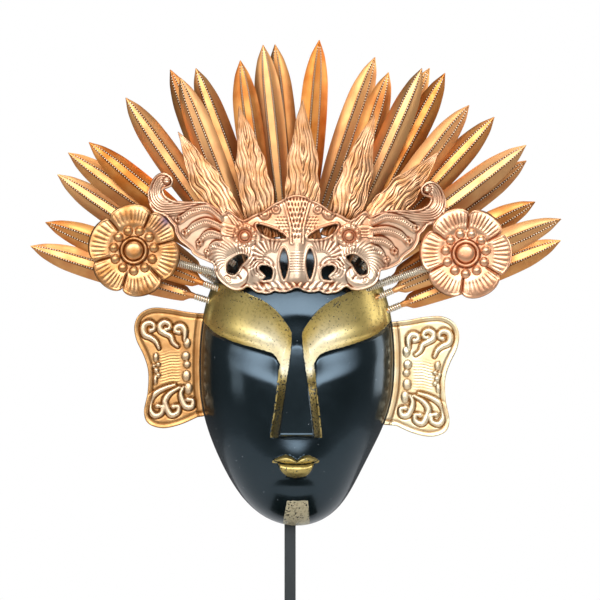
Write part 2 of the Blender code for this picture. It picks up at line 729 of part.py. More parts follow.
def make_diadem(material, frame):
    right = [diadem_point(a, u, 1) for a, u in DIADEM_OUTLINE]
    left = [diadem_point(a, u, -1) for a, u in DIADEM_OUTLINE[1:-1]]
    outline = right + left[::-1]
    holes = []
    marks = []
    for side in (-1, 1):
        for hole in DIADEM_HOLES:
            holes.append([diadem_point(a, u, side) for a, u in rounded(hole, 2)])
        for band in DIADEM_BANDS:
            marks += [diadem_point(a, u, side) for a, u in band]
        marks.append(diadem_point(*ROSETTE, side))

    def relief(x, z):
        up = (z - DIADEM_FOOT_LEVEL - wing_lift(x)) / DIADEM_HALF_SPAN
        return DIADEM_RELIEF * diadem_relief(x / DIADEM_HALF_SPAN, up)

    vertices, faces = plate(outline, holes, marks, 0.0062, bent, relief, DIADEM_THICKNESS)
    diadem = add_part("diadem", vertices, faces, material, frame)

    pins = []
    sockets = []
    for side in (-1, 1):
        head = bent(side * PIN_SPREAD, PIN_LEVEL, -DIADEM_THICKNESS / 2)
        head.y += relief(PIN_SPREAD, PIN_LEVEL) * -1.0
        mouth = Vector((head.x, -front_depth(head.x, PIN_LEVEL), PIN_LEVEL))
        inward = Vector((0.0, 1.0, 0.0))
        rings = [ring_around(point, Vector((1.0, 0.0, 0.0)), Vector((0.0, 0.0, 1.0)), PIN_DIAMETER / 2)
                 for point in (head, mouth + inward * PIN_SOCKET)]
        pins.append(loft(rings))
        wide = widened(PIN_DIAMETER / 2)
        rings = [ring_around(point, Vector((1.0, 0.0, 0.0)), Vector((0.0, 0.0, 1.0)), wide)
                 for point in (mouth - inward * 0.004, mouth + inward * (PIN_SOCKET + FIT_GAP))]
        sockets.append(loft(rings))
    vertices, faces = joined(pins)
    add_boolean(diadem, add_part("diadem_pins", vertices, faces, material, frame), "UNION")
    return sockets


# Leaves

LEAF_STATIONS = ((0.0, 1.10), (0.13, 0.92), (0.25, 0.94), (0.37, 1.0), (0.47, 0.86), (0.57, 0.90),
                 (0.68, 0.66), (0.81, 0.44), (0.91, 0.22), (1.0, 0.02))


def leaf_layer_back(row):
    # How far the middle of a leaf lies behind the diadem's back face
    layer = LEAF_RIDGE + LEAF_THICKNESS + FEATHER_AIR
    return DIADEM_THICKNESS + layer * (1.5 - row)


def make_leaves(material, frame):
    sockets = []
    middle = (len(LEAVES) - 1) / 2
    for number, (tip_across, tip_up, heading, row) in enumerate(LEAVES, start=1):
        back = leaf_layer_back(row)
        angle = math.radians(heading)
        tip = Vector((tip_across / 1000, MASK_HEIGHT + tip_up / 1000))
        blade = (tip.y - LEAF_BASE_LEVEL) / math.sin(angle)
        base = tip - Vector((math.cos(angle), math.sin(angle))) * blade
        base_point = bent(base.x, base.y, -back)
        root = root_on_top(LEAF_ROOT_PITCH * (number - 1 - middle), -base_point.y - LEAF_LEAN)
        tang = (base_point - root).normalized()
        across, out = frame_of(tang)
        radius = TANG_DIAMETER / 2
        rings = [ring_around(root - tang * LEAF_SOCKET, across, out, radius),
                 ring_around(base_point - tang * 0.004, across, out, radius)]
        side = Vector((math.sin(angle), -math.cos(angle)))
        for share, width in LEAF_STATIONS:
            centre = base.lerp(tip, share)
            half = side * (LEAF_WIDTH / 2 * width)
            low = -back - LEAF_RIDGE / 2 * max(width, 0.3)
            high = -back + LEAF_RIDGE / 2 * max(width, 0.3)
            under = high - LEAF_THICKNESS * max(width, 0.3)
            spots = ((-1.0, low), (-0.35, high), (0.35, high), (1.0, low), (0.35, under), (-0.35, under))
            rings.append([bent(*(centre + half * share_out), forward) for share_out, forward in spots])
        vertices, faces = loft(rings)
        add_part(f"leaf_{number}", vertices, faces, material, frame)
        sockets.append(socket_cutter(root, tang, radius, LEAF_SOCKET))
    return sockets


def root_on_top(x, depth):
    # The point above the forehead where the wood comes down to this depth, x to one side
    target = ratio_at_depth(depth)
    low, high = MASK_HEIGHT / 2, MASK_HEIGHT
    for _ in range(40):
        z = (low + high) / 2
        if wood_ratio(x, z) < target:
            low = z
        else:
            high = z
    return Vector((x, -depth, low))


# Flowers and their springs

PETALS = 6
FLOWER_SIDES = 30
FLOWER_RINGS = ((0.15, 0.92), (0.26, 0.52), (0.33, 0.74), (0.40, 0.42), (0.48, 0.42), (0.60, 0.34),
                (0.82, 0.36))
FLOWER_BACK_RINGS = (0.36, 0.70)


def flower_centre(side):
    # The middle of a flower's back, just in front of the diadem's bent wing
    reach = FLOWER_REACH + side * FLOWER_OFFSET
    depth = -bent(reach - FLOWER_RADIUS, FLOWER_LEVEL, DIADEM_RELIEF).y + FIT_GAP * 2
    return Vector((side * reach, -depth, FLOWER_LEVEL - side * FLOWER_OFFSET / 2))


def petal_radius(angle):
    return FLOWER_RADIUS * (0.85 + 0.15 * abs(math.sin(angle * PETALS / 2)) ** 0.6)


def make_flower(name, side, material, frame):
    centre = flower_centre(side)
    turn = 0.0 if side < 0 else math.pi / PETALS

    def at(angle, radius, forward):
        return centre + Vector((math.cos(angle + turn) * radius, -forward, math.sin(angle + turn) * radius))

    angles = [2 * math.pi * i / FLOWER_SIDES for i in range(FLOWER_SIDES)]
    vertices = [at(0.0, 0.0, FLOWER_THICKNESS + FLOWER_DOME)]
    rings = []
    for share, height in FLOWER_RINGS:
        ring = []
        for i, angle in enumerate(angles):
            bead = 0.30 if share == 0.48 and i % 3 == 1 else 0.0
            forward = FLOWER_THICKNESS + FLOWER_DOME * (height + bead)
            ring.append(len(vertices))
            vertices.append(at(angle, FLOWER_RADIUS * share, forward))
        rings.append(ring)
    for thickness in (FLOWER_THICKNESS, 0.0):
        ring = []
        for angle in angles:
            ring.append(len(vertices))
            vertices.append(at(angle, petal_radius(angle), thickness))
        rings.append(ring)
    for share in FLOWER_BACK_RINGS[::-1]:
        ring = []
        for angle in angles:
            ring.append(len(vertices))
            vertices.append(at(angle, FLOWER_RADIUS * share, FLOWER_DOME * 0.12))
        rings.append(ring)
    vertices.append(at(0.0, 0.0, FLOWER_DOME * 0.12))
    faces = []
    for a, b in zip(rings, rings[1:]):
        for i in range(FLOWER_SIDES):
            n = (i + 1) % FLOWER_SIDES
            faces.append([a[i], a[n], b[n], b[i]])
    for i in range(FLOWER_SIDES):
        n = (i + 1) % FLOWER_SIDES
        faces.append([0, rings[0][i], rings[0][n]])
        faces.append([len(vertices) - 1, rings[-1][n], rings[-1][i]])
    return add_part(name, vertices, faces, material, frame)


SPRING_STATIONS = 9


def make_spring(name, side, material, frame):
    # From behind the flower's middle, bending back under the wing and into the wood
    radius = SPRING_DIAMETER / 2
    root_depth = feather_front() + radius
    root = surface_point(SPRING_ROOT_ANGLES[side], root_depth, CROWN_ARC_LEVEL)
    start = flower_centre(side) + Vector((side * radius, radius + FIT_GAP, 0.0))
    start_depth = -start.y
    flat = Vector((start.x - root.x, 0.0, start.z - root.z))
    path = []
    for i in range(SPRING_STATIONS):
        share = i / (SPRING_STATIONS - 1)
        point = root + flat * share
        point.y = -(root_depth + (start_depth - root_depth) * share**2.2)
        path.append(point)
    inward = -flat.normalized()
    path.insert(0, root + inward * SPRING_SOCKET)
    rings = []
    for i, point in enumerate(path):
        along = (path[min(i + 1, len(path) - 1)] - path[max(i - 1, 0)]).normalized()
        if i < 2:
            along = -inward
        if i == len(path) - 1:
            along = -inward
        across, out = frame_of(along)
        rings.append(ring_around(point, across, out, radius))
    vertices, faces = loft(rings)
    add_part(name, vertices, faces, material, frame)
    return socket_cutter(root, -inward, radius, SPRING_SOCKET)


# Ear plates

# Outline from the top of the straight inner edge round to its foot, as shares of the plate's height:
# outwards from the inner edge, and up from the plate's middle
EAR_OUTLINE = ((0.0, 0.46), (0.12, 0.475), (0.26, 0.50), (0.40, 0.505), (0.50, 0.455), (0.545, 0.36),
               (0.53, 0.24), (0.465, 0.10), (0.43, -0.03), (0.435, -0.20), (0.465, -0.36), (0.43, -0.46),
               (0.31, -0.50), (0.16, -0.47), (0.0, -0.40))
EAR_TABS = (0.27, -0.13)
EAR_SCROLLS = ((0.40, 0.30, 0.085), (0.255, 0.33, 0.065), (0.12, 0.30, 0.060), (0.32, -0.32, 0.085),
               (0.17, -0.30, 0.070), (0.06, -0.24, 0.045))


def ear_relief(out, up):
    # Height of the raised border and scrolls, 0 to 1
    height = 0.0
    for centre_out, centre_up, radius in EAR_SCROLLS:
        distance = math.hypot(out - centre_out, up - centre_up)
        height = max(height, math.exp(-((distance - radius * 0.6) / 0.030) ** 2))
    return height


def make_ear(name, side, material, frame):
    level = EAR_LEVEL - side * EAR_OFFSET
    back = EAR_DEPTH - EAR_THICKNESS
    edge = wood_edge(side, level, back) + FIT_GAP

    def inner(up):
        # The inner edge follows the wood
        return Vector((wood_edge(side, level + up, back) + FIT_GAP - edge, up))

    outline = [Vector(point) * EAR_HEIGHT for point in EAR_OUTLINE]
    outline[0] = inner(outline[0].y)
    outline[-1] = inner(outline[-1].y)
    reach = Vector((EAR_TAB_LENGTH, 0.0))
    for tab in sorted(EAR_TABS):
        low = inner(tab * EAR_HEIGHT - EAR_TAB_WIDTH / 2)
        high = inner(tab * EAR_HEIGHT + EAR_TAB_WIDTH / 2)
        outline += [inner((outline[-1].y + low.y) / 2), low, low - reach, high - reach, high]

    def place(out, up, forward):
        return Vector((side * (edge + out), -(EAR_DEPTH + forward), level + up))

    def relief(out, up):
        return EAR_RELIEF * ear_relief(out / EAR_HEIGHT, up / EAR_HEIGHT)

    marks = []
    for out, up, radius in EAR_SCROLLS:
        for k in range(6):
            angle = math.pi * k / 3
            spot = Vector((out + 0.6 * radius * math.cos(angle), up + 0.6 * radius * math.sin(angle)))
            marks.append(spot * EAR_HEIGHT)
        marks.append(Vector((out, up)) * EAR_HEIGHT)
    vertices, faces = plate(outline, [], marks, 0.0075, place, relief, EAR_THICKNESS)
    add_part(name, vertices, faces, material, frame)

    slots = []
    thick = EAR_THICKNESS + 2 * FIT_GAP
    tall = EAR_TAB_WIDTH + 2 * FIT_GAP
    for tab in EAR_TABS:
        up = tab * EAR_HEIGHT
        deepest = min(inner(up - tall / 2).x, inner(up + tall / 2).x) - EAR_TAB_LENGTH - FIT_GAP
        middle = place((deepest + 0.004) / 2, up, -EAR_THICKNESS / 2)
        slots.append(box(middle, (0.004 - deepest, thick, tall)))
    return slots


# The stand

def make_foot(material):
    foot = bpy.data.meshes.new("stand_foot")
    block = bmesh.new()
    bmesh.ops.create_cube(block, size=1.0)
    bmesh.ops.scale(block, vec=(FOOT_WIDTH, FOOT_DEPTH, FOOT_THICKNESS), verts=block.verts)
    bmesh.ops.translate(block, vec=(0.0, 0.0, FOOT_THICKNESS / 2), verts=block.verts)
    top = [edge for edge in block.edges if all(v.co.z > 0.0 for v in edge.verts)]
    bmesh.ops.bevel(block, geom=top, offset=FOOT_BEVEL, segments=2, profile=0.5, affect="EDGES")
    block.to_mesh(foot)
    block.free()
    foot.materials.append(material)
    part = bpy.data.objects.new("stand_foot", foot)
    bpy.context.collection.objects.link(part)
    vertices, faces = box((0.0, rod_middle(), FOOT_THICKNESS - ROD_SOCKET_DEPTH / 2 + 0.005),
                          (ROD_WIDTH + 2 * FIT_GAP, ROD_WIDTH + 2 * FIT_GAP, ROD_SOCKET_DEPTH + 0.010))
    add_boolean(part, add_part("rod_socket", vertices, faces, material), "DIFFERENCE")
    return part


def rod_middle():
    return MASK_BACK + FIT_GAP + ROD_WIDTH / 2


def box(middle, size):
    # A closed block of this size around its middle
    rings = []
    for k in (-0.5, 0.5):
        corners = ((-0.5, -0.5, k), (0.5, -0.5, k), (0.5, 0.5, k), (-0.5, 0.5, k))
        rings.append([Vector([m + c * s for m, c, s in zip(middle, corner, size)]) for corner in corners])
    return loft(rings)


def make_rod(material):
    # An upright bar with a peg at its top that the mask hangs on, cut from one side view
    bottom = FOOT_THICKNESS - ROD_SOCKET_DEPTH + FIT_GAP
    front = MASK_BACK + FIT_GAP
    back = front + ROD_WIDTH
    tip_depth = PEG_LENGTH - FIT_GAP
    top = CHIN_HEIGHT + hollow_top(MASK_SIDE_SHIFT + ROD_WIDTH / 2, tip_depth) - 1.5 * FIT_GAP
    profile = ((front, bottom), (back, bottom), (back, top), (MASK_BACK - tip_depth, top),
               (MASK_BACK - tip_depth, top - ROD_WIDTH), (front, top - ROD_WIDTH))
    rings = [[Vector((side * ROD_WIDTH / 2, y, z)) for y, z in profile] for side in (-1, 1)]
    vertices, faces = loft(rings)
    return add_part("stand_rod", vertices, faces, material)


def build():
    for old in list(bpy.data.objects):
        bpy.data.objects.remove(old, do_unlink=True)

    black_lacquer = make_material("black lacquered wood", (0.012, 0.018, 0.017), 0.28, 0.0)
    black_paint = make_material("black painted iron", (0.010, 0.014, 0.013), 0.45, 0.0)
    copper_sheet = make_material("orange copper sheet", (0.62, 0.27, 0.075), 0.34, 1.0)
    pink_copper = make_material("pale chased copper", (0.76, 0.45, 0.24), 0.36, 1.0)
    spring_wire = make_material("pale brass wire", (0.66, 0.58, 0.40), 0.30, 1.0)

    frame = bpy.data.objects.new("mask_frame", None)
    frame.location = (MASK_SIDE_SHIFT, MASK_BACK, CHIN_HEIGHT)
    bpy.context.collection.objects.link(frame)

    mask = make_mask(black_lacquer, frame)
    cuts = make_feathers(copper_sheet, frame)
    cuts += make_diadem(pink_copper, frame)
    cuts += make_leaves(pink_copper, frame)
    for word, side in (("left", -1), ("right", 1)):
        make_flower(f"flower_{word}", side, pink_copper, frame)
        cuts.append(make_spring(f"flower_spring_{word}", side, spring_wire, frame))
        cuts += make_ear(f"ear_{word}", side, pink_copper, frame)
    vertices, faces = joined(cuts)
    add_boolean(mask, add_part("mask_sockets", vertices, faces, black_lacquer, frame), "DIFFERENCE")
    make_rod(black_paint)
    make_foot(black_paint)


build()
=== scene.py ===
# A carved wooden mask with a crown of chased and folded sheet metal, on its rod stand.
# Metres, Z up, the face looks along -Y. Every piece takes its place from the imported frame.

import math

import bmesh
import bpy
import numpy as np
from mathutils import Matrix, Vector
from mathutils.geometry import delaunay_2d_cdt


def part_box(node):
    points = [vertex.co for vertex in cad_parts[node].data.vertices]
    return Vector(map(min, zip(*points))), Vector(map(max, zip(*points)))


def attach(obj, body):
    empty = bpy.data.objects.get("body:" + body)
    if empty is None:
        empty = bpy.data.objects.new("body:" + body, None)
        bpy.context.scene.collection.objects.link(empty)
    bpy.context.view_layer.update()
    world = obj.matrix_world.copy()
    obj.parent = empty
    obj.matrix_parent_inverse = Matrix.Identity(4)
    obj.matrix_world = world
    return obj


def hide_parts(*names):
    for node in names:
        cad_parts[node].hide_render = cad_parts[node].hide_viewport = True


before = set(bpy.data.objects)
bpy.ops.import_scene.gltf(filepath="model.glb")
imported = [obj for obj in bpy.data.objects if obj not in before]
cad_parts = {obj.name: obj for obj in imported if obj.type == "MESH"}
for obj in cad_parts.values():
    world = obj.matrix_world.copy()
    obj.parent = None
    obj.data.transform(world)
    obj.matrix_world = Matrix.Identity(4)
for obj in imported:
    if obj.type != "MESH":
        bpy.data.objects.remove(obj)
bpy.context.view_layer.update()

mm = 0.001

# The mask's own frame: its origin is the chin's tip in the flat back, up is Z, and depth runs forward
maskLow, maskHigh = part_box("wooden_mask")
rodLow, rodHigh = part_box("stand_rod")
maskPlace = {
    "sideShift": 5 * mm,  # the carving hangs a little beside the rod's middle
    "fitGap": 0.3 * mm,
}
chinPoint = np.array(((rodLow.x + rodHigh.x) / 2 + maskPlace["sideShift"], maskHigh.y, maskLow.z))
maskHeight = maskHigh.z - maskLow.z


# Small helpers

def smoothStep(start, end, value):
    share = np.clip((value - start) / (end - start), 0.0, 1.0)
    return share * share * (3.0 - 2.0 * share)


def bell(value, width):
    return np.exp(-(value / width) ** 2)


def curveAt(points, x):
    # Height at x of a smooth curve through given points, level beyond its ends
    xs, ys = np.array(points).T
    x = np.clip(x, xs[0], xs[-1])
    last = len(xs) - 1
    before = np.maximum(np.arange(last + 1) - 1, 0)
    after = np.minimum(np.arange(last + 1) + 1, last)
    slopes = (ys[after] - ys[before]) / (xs[after] - xs[before])
    i = np.clip(np.searchsorted(xs, x, side="left") - 1, 0, last - 1)
    span = xs[i + 1] - xs[i]
    u = (x - xs[i]) / span
    return ((2 * u**3 - 3 * u**2 + 1) * ys[i] + (u**3 - 2 * u**2 + u) * span * slopes[i]
            + (3 * u**2 - 2 * u**3) * ys[i + 1] + (u**3 - u**2) * span * slopes[i + 1])


def gridFaces(rows, columns, closed=False, start=0):
    # Four-sided faces between neighbouring rows of a grid, wrapped round where it is closed
    across = columns if closed else columns - 1
    r, c = np.meshgrid(np.arange(rows - 1), np.arange(across), indexing="ij")
    right = (c + 1) % columns
    corners = (r * columns + c, r * columns + right, (r + 1) * columns + right, (r + 1) * columns + c)
    return (np.stack(corners, -1).reshape(-1, 4) + start).tolist()


def gridTriangles(rows, columns, closed=False):
    quads = np.array(gridFaces(rows, columns, closed))
    return np.vstack((quads[:, :3], quads[:, (0, 2, 3)]))


def tubeFaces(rings, sides):
    # Faces of a tube through rings of points, with both ends closed
    ends = [list(range(sides)), [(rings - 1) * sides + i for i in range(sides)][::-1]]
    return gridFaces(rings, sides, closed=True) + ends


def circleAround(centre, across, out, radius, sides):
    turns = [2 * math.pi * k / sides for k in range(sides)]
    return [centre + across * (radius * math.cos(turn)) + out * (radius * math.sin(turn)) for turn in turns]


def roundTop(share):
    # Height of a dome, one at its middle, at this share of the way out to its foot
    return np.sqrt(np.clip(1.0 - share**2, 0.0, 1.0))


def addObject(name, data):
    added = bpy.data.objects.new(name, data)
    bpy.context.collection.objects.link(added)
    return added


def addSurface(name, vertices, faces, material, attributes=None, tidyNormals=True):
    # A smooth mesh piece with its place in its vertices, and one value per vertex for each attribute
    mesh = bpy.data.meshes.new(name)
    mesh.from_pydata(np.asarray(vertices, float).tolist(), [], faces)
    for key, values in (attributes or {}).items():
        mesh.attributes.new(key, "FLOAT", "POINT").data.foreach_set("value", np.asarray(values, np.float32))
    if tidyNormals:
        shell = bmesh.new()
        shell.from_mesh(mesh)
        bmesh.ops.recalc_face_normals(shell, faces=shell.faces)
        shell.to_mesh(mesh)
        shell.free()
    mesh.polygons.foreach_set("use_smooth", np.ones(len(mesh.polygons), bool))
    mesh.materials.append(material)
    return addObject(name, mesh)


def sharpenEdges(piece, degrees):
    # Folds sharper than this keep a crisp edge under smooth shading
    shell = bmesh.new()
    shell.from_mesh(piece.data)
    limit = math.radians(degrees)
    for edge in shell.edges:
        edge.smooth = len(edge.link_faces) != 2 or edge.calc_face_angle(0.0) < limit
    shell.to_mesh(piece.data)
    shell.free()


def joinSurfaces(parts):
    # Several (vertices, faces) pairs as one
    vertices = []
    faces = []
    for partVertices, partFaces in parts:
        start = len(vertices)
        vertices.extend(np.asarray(partVertices, float).tolist())
        faces.extend([[start + i for i in face] for face in partFaces])
    return vertices, faces


def dress(piece, slot, *nodes):
    # The piece rides on the one body, and stands for these nodes
    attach(piece, "root")
    if nodes:
        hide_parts(*nodes)


# Materials

def linearColour(hexCode):
    channels = [int(hexCode[i:i + 2], 16) / 255 for i in (1, 3, 5)]
    return tuple(c / 12.92 if c <= 0.04045 else ((c + 0.055) / 1.055) ** 2.4 for c in channels) + (1.0,)


def setInputs(tree, node, inputs):
    # A node's inputs, set to values or linked to other nodes' sockets
    for key, value in inputs.items():
        if isinstance(value, bpy.types.NodeSocket):
            tree.links.new(value, node.inputs[key])
        else:
            isColour = isinstance(value, str) and value.startswith("#")
            node.inputs[key].default_value = linearColour(value) if isColour else value


def addNode(tree, kind, inputs=None, **settings):
    node = tree.nodes.new(kind)
    for key, value in settings.items():
        setattr(node, key, value)
    setInputs(tree, node, inputs or {})
    return node


def newMaterial(name):
    # A bare material: its node tree, its Principled shader and its Object coordinates
    material = bpy.data.materials.new(name)
    material.use_nodes = True
    tree = material.node_tree
    coordinates = addNode(tree, "ShaderNodeTexCoord").outputs["Object"]
    return material, tree, tree.nodes["Principled BSDF"], coordinates


def perMetre(millimetres):
    # Scale of a noise whose features are about this size
    return 1.0 / (millimetres * mm)


lacquer = {
    "black": "#060b0b",
    "blueBlack": "#0c1516",
    "leafGold": "#bfa65c",
    "leafPale": "#dcc57c",
    "leafHighlightCream": "#fff3cf",  # painted highlight: leaf painted cream by the inner corners of the eyes, and as painted light on the down-facing chin
    "leafBrown": "#6b5526",
    "dust": "#b9c0c4",
    "sheenTint": "#c4e0f2",
    "roughness": (0.14, 0.23),
    "leafRoughness": (0.32, 0.48),
    "leafMetal": 0.90,  # share of the leaf that shines as metal; the rest is matt
    "highlightMetal": 0.10,  # the same where the leaf is painted cream as a highlight
    "lacquerIndex": 1.68,
    "swell": 22,  # mm from one low swell of the coat to the next
    "grain": 2.2,  # mm
    "pitSize": 1.5,  # mm
    "pitLevel": (0.75, 0.78),  # higher makes the pits rarer
    "moreWhereWorn": 0.16,
    "raggedEdge": 0.9,  # mm
    "edgeBlur": 0.12,  # mm
    "dustSpacing": 7.0,  # mm
    "dustSize": (0.030, 0.045),  # from a speck's middle to its edge, as shares of the spacing
    "relief": ((0.35, 0.5), (0.6, 0.12), (0.25, 0.08)),  # strength and mm: the swells, the leaf, the grain
}


def blackLacquer():
    # Black lacquer on carved wood, satin from handling, with gold leaf laid on parts of it:
    # soft bluish reflections, fine dust, and leaf that is pitted down to the black and torn at its edges
    material, tree, shader, place = newMaterial("satin black lacquer and gold leaf")
    broad, fine, specks = (
        addNode(tree, "ShaderNodeTexNoise", {
            "Vector": place, "Scale": perMetre(lacquer[size]), "Detail": detail}).outputs["Fac"]
        for size, detail in (("swell", 3.0), ("grain", 4.0), ("pitSize", 2.0)))
    # The third attribute marks painted highlight: leaf painted cream, and nearly matt, by the inner eye
    # corners and on the chin
    leaf, wear, pale = (addNode(tree, "ShaderNodeAttribute", attribute_name=name).outputs["Fac"]
                        for name in ("goldLeaf", "goldWear", "goldPaintedHighlight"))
    torn = addNode(tree, "ShaderNodeMath", {
        0: fine, 1: lacquer["raggedEdge"] * 2, 2: leaf}, operation="MULTIPLY_ADD").outputs[0]
    edge = addNode(tree, "ShaderNodeMapRange", {
        "Value": torn, "From Min": lacquer["raggedEdge"] - lacquer["edgeBlur"],
        "From Max": lacquer["raggedEdge"] + lacquer["edgeBlur"]}).outputs[0]
    patchy = addNode(tree, "ShaderNodeMath", {
        0: broad, 1: 0.16, 2: specks}, operation="MULTIPLY_ADD").outputs[0]
    pitCount = addNode(tree, "ShaderNodeMath", {
        0: wear, 1: lacquer["moreWhereWorn"], 2: patchy}, operation="MULTIPLY_ADD").outputs[0]
    pits = addNode(tree, "ShaderNodeMapRange", {
        "Value": pitCount, "From Min": lacquer["pitLevel"][0], "From Max": lacquer["pitLevel"][1],
        "To Min": 1.0, "To Max": 0.0}).outputs[0]
    gold = addNode(tree, "ShaderNodeMath", {0: edge, 1: pits}, operation="MULTIPLY").outputs[0]
    rubbed = addNode(tree, "ShaderNodeMapRange", {
        "Value": fine, "From Min": 0.52, "From Max": 0.75, "To Max": 0.5}).outputs[0]
    worn = addNode(tree, "ShaderNodeMath", {
        0: wear, 1: 0.75, 2: rubbed}, operation="MULTIPLY_ADD", use_clamp=True).outputs[0]
    dustSpots = addNode(tree, "ShaderNodeTexVoronoi", {
        "Vector": place, "Scale": perMetre(lacquer["dustSpacing"])}).outputs["Distance"]
    dust = addNode(tree, "ShaderNodeMapRange", {
        "Value": dustSpots, "From Min": lacquer["dustSize"][0], "From Max": lacquer["dustSize"][1],
        "To Min": 0.7, "To Max": 0.0}).outputs[0]
    coats = []
    onBlack = ((broad, "blueBlack"), (dust, "dust"))
    onLeaf = ((broad, "leafPale"), (pale, "leafHighlightCream"), (worn, "leafBrown"))
    for tone, shades in ((lacquer["black"], onBlack), (lacquer["leafGold"], onLeaf)):
        for share, shade in shades:
            tone = addNode(tree, "ShaderNodeMix", {
                "Factor": share, 6: tone, 7: lacquer[shade]}, data_type="RGBA").outputs[2]
        coats.append(tone)
    colour = addNode(tree, "ShaderNodeMix", {
        "Factor": gold, 6: coats[0], 7: coats[1]}, data_type="RGBA").outputs[2]
    low, high = lacquer["roughness"]
    sheen = addNode(tree, "ShaderNodeMapRange", {
        "Value": broad, "From Min": 0.3, "From Max": 0.7, "To Min": low, "To Max": high}).outputs[0]
    low, high = lacquer["leafRoughness"]
    leafSheen = addNode(tree, "ShaderNodeMapRange", {"Value": fine, "To Min": low, "To Max": high}).outputs[0]
    roughness = addNode(tree, "ShaderNodeMix", {"Factor": gold, 2: sheen, 3: leafSheen}).outputs[0]
    relief = {}
    for height, (strength, depth) in zip((broad, gold, fine), lacquer["relief"]):
        relief = {"Normal": addNode(tree, "ShaderNodeBump", {
            "Height": height, "Strength": strength, "Distance": depth * mm, **relief}).outputs[0]}
    # where the leaf is painted cream as a highlight it is also made nearly matt, to stay bright
    shine = addNode(tree, "ShaderNodeMapRange", {
        "Value": pale, "To Min": lacquer["leafMetal"], "To Max": lacquer["highlightMetal"]}).outputs[0]
    metal = addNode(tree, "ShaderNodeMath", {0: gold, 1: shine}, operation="MULTIPLY").outputs[0]
    setInputs(tree, shader, {
        "Base Color": colour, "Metallic": metal, "Roughness": roughness, **relief,
        "IOR": lacquer["lacquerIndex"], "Specular Tint": lacquer["sheenTint"]})
    return material


def sheetMetal(name, values):
    # Lacquered copper-coloured sheet, chased or punched: bright on its crests, with painted shade browning
    # its recesses and chased lines (its recess attribute), paler in places (attribute rubbed; a painted
    # highlight on the diadem, partly on the ears), in a few places tarnished (attribute stain), with soft
    # mottling and a satin grain
    material, tree, shader, place = newMaterial(name)
    broad, fine = (
        addNode(tree, "ShaderNodeTexNoise", {
            "Vector": place, "Scale": perMetre(size), "Detail": detail}).outputs["Fac"]
        for size, detail in ((values["mottle"], 4.0), (1.1, 3.0)))
    recessShade, rubbed, stain = (addNode(tree, "ShaderNodeAttribute", attribute_name=key).outputs["Fac"]
                             for key in ("recessShade", "rubbed", "stain"))
    mottled = addNode(tree, "ShaderNodeMapRange", {
        "Value": broad, "From Min": 0.35, "From Max": 0.65}).outputs[0]
    depth = addNode(tree, "ShaderNodeMapRange", {
        "Value": recessShade, "From Min": 0.10, "From Max": 1.0}).outputs[0]
    # painted shade: the recess attribute mixes the tone towards the shade colour
    tone = values["bright"]
    for share, shade in ((mottled, "warm"), (rubbed, "rubbed"), (depth, "recessShadeColour"), (stain, "stain")):
        tone = addNode(tree, "ShaderNodeMix", {
            "Factor": share, 6: tone, 7: values[shade]}, data_type="RGBA").outputs[2]
    low, high = values["roughness"]
    satin = addNode(tree, "ShaderNodeMapRange", {
        "Value": broad, "From Min": 0.3, "From Max": 0.7, "To Min": low, "To Max": high}).outputs[0]
    grain = addNode(tree, "ShaderNodeBump", {
        "Height": fine, "Strength": 0.2, "Distance": 0.06 * mm}).outputs[0]
    dents = addNode(tree, "ShaderNodeBump", {
        "Height": broad, "Normal": grain, "Strength": 0.3, "Distance": 0.5 * mm}).outputs[0]
    setInputs(tree, shader, {
        "Base Color": tone, "Roughness": satin, "Normal": dents, "Metallic": values.get("metal", 1.0)})
    return material


brassWire = {
    "bright": "#fffaf0",
    "dull": "#e8dab8",
    "roughness": (0.3, 0.5),
    "mottle": 5,  # mm
}


def drawnWire():
    # Drawn brass wire, softly mottled between bright and dull
    material, tree, shader, place = newMaterial("pale brass wire")
    dull = addNode(tree, "ShaderNodeTexNoise", {
        "Vector": place, "Scale": perMetre(brassWire["mottle"]), "Detail": 3.0}).outputs["Fac"]
    tone = addNode(tree, "ShaderNodeMix", {
        "Factor": dull, 6: brassWire["bright"], 7: brassWire["dull"]}, data_type="RGBA").outputs[2]
    satin = addNode(tree, "ShaderNodeMapRange", {
        "Value": dull, "To Min": brassWire["roughness"][0], "To Max": brassWire["roughness"][1]}).outputs[0]
    setInputs(tree, shader, {"Base Color": tone, "Roughness": satin, "Metallic": 1.0})
    return material


barPaint = {
    "black": "#0e1414",
    "grey": "#1b2424",
    "roughness": (0.32, 0.52),
    "runs": 3,  # mm across a run of the paint
    "runStretch": (1.0, 1.0, 0.25),  # runs are four times as tall as they are wide
    "skin": 0.1 * mm,
}


def blackPaint():
    # Brushed satin black paint on a steel bar: an even low sheen with faint runs
    material, tree, shader, place = newMaterial("satin black paint on steel")
    along = addNode(tree, "ShaderNodeMapping", {"Vector": place, "Scale": barPaint["runStretch"]}).outputs[0]
    runs = addNode(tree, "ShaderNodeTexNoise", {
        "Vector": along, "Scale": perMetre(barPaint["runs"]), "Detail": 4.0}).outputs["Fac"]
    tone = addNode(tree, "ShaderNodeMix", {
        "Factor": runs, 6: barPaint["black"], 7: barPaint["grey"]}, data_type="RGBA").outputs[2]
    satin = addNode(tree, "ShaderNodeMapRange", {
        "Value": runs, "To Min": barPaint["roughness"][0], "To Max": barPaint["roughness"][1]}).outputs[0]
    skin = addNode(tree, "ShaderNodeBump", {
        "Height": runs, "Strength": 0.3, "Distance": barPaint["skin"]}).outputs[0]
    setInputs(tree, shader, {
        "Base Color": tone, "Roughness": satin, "Normal": skin})
    return material


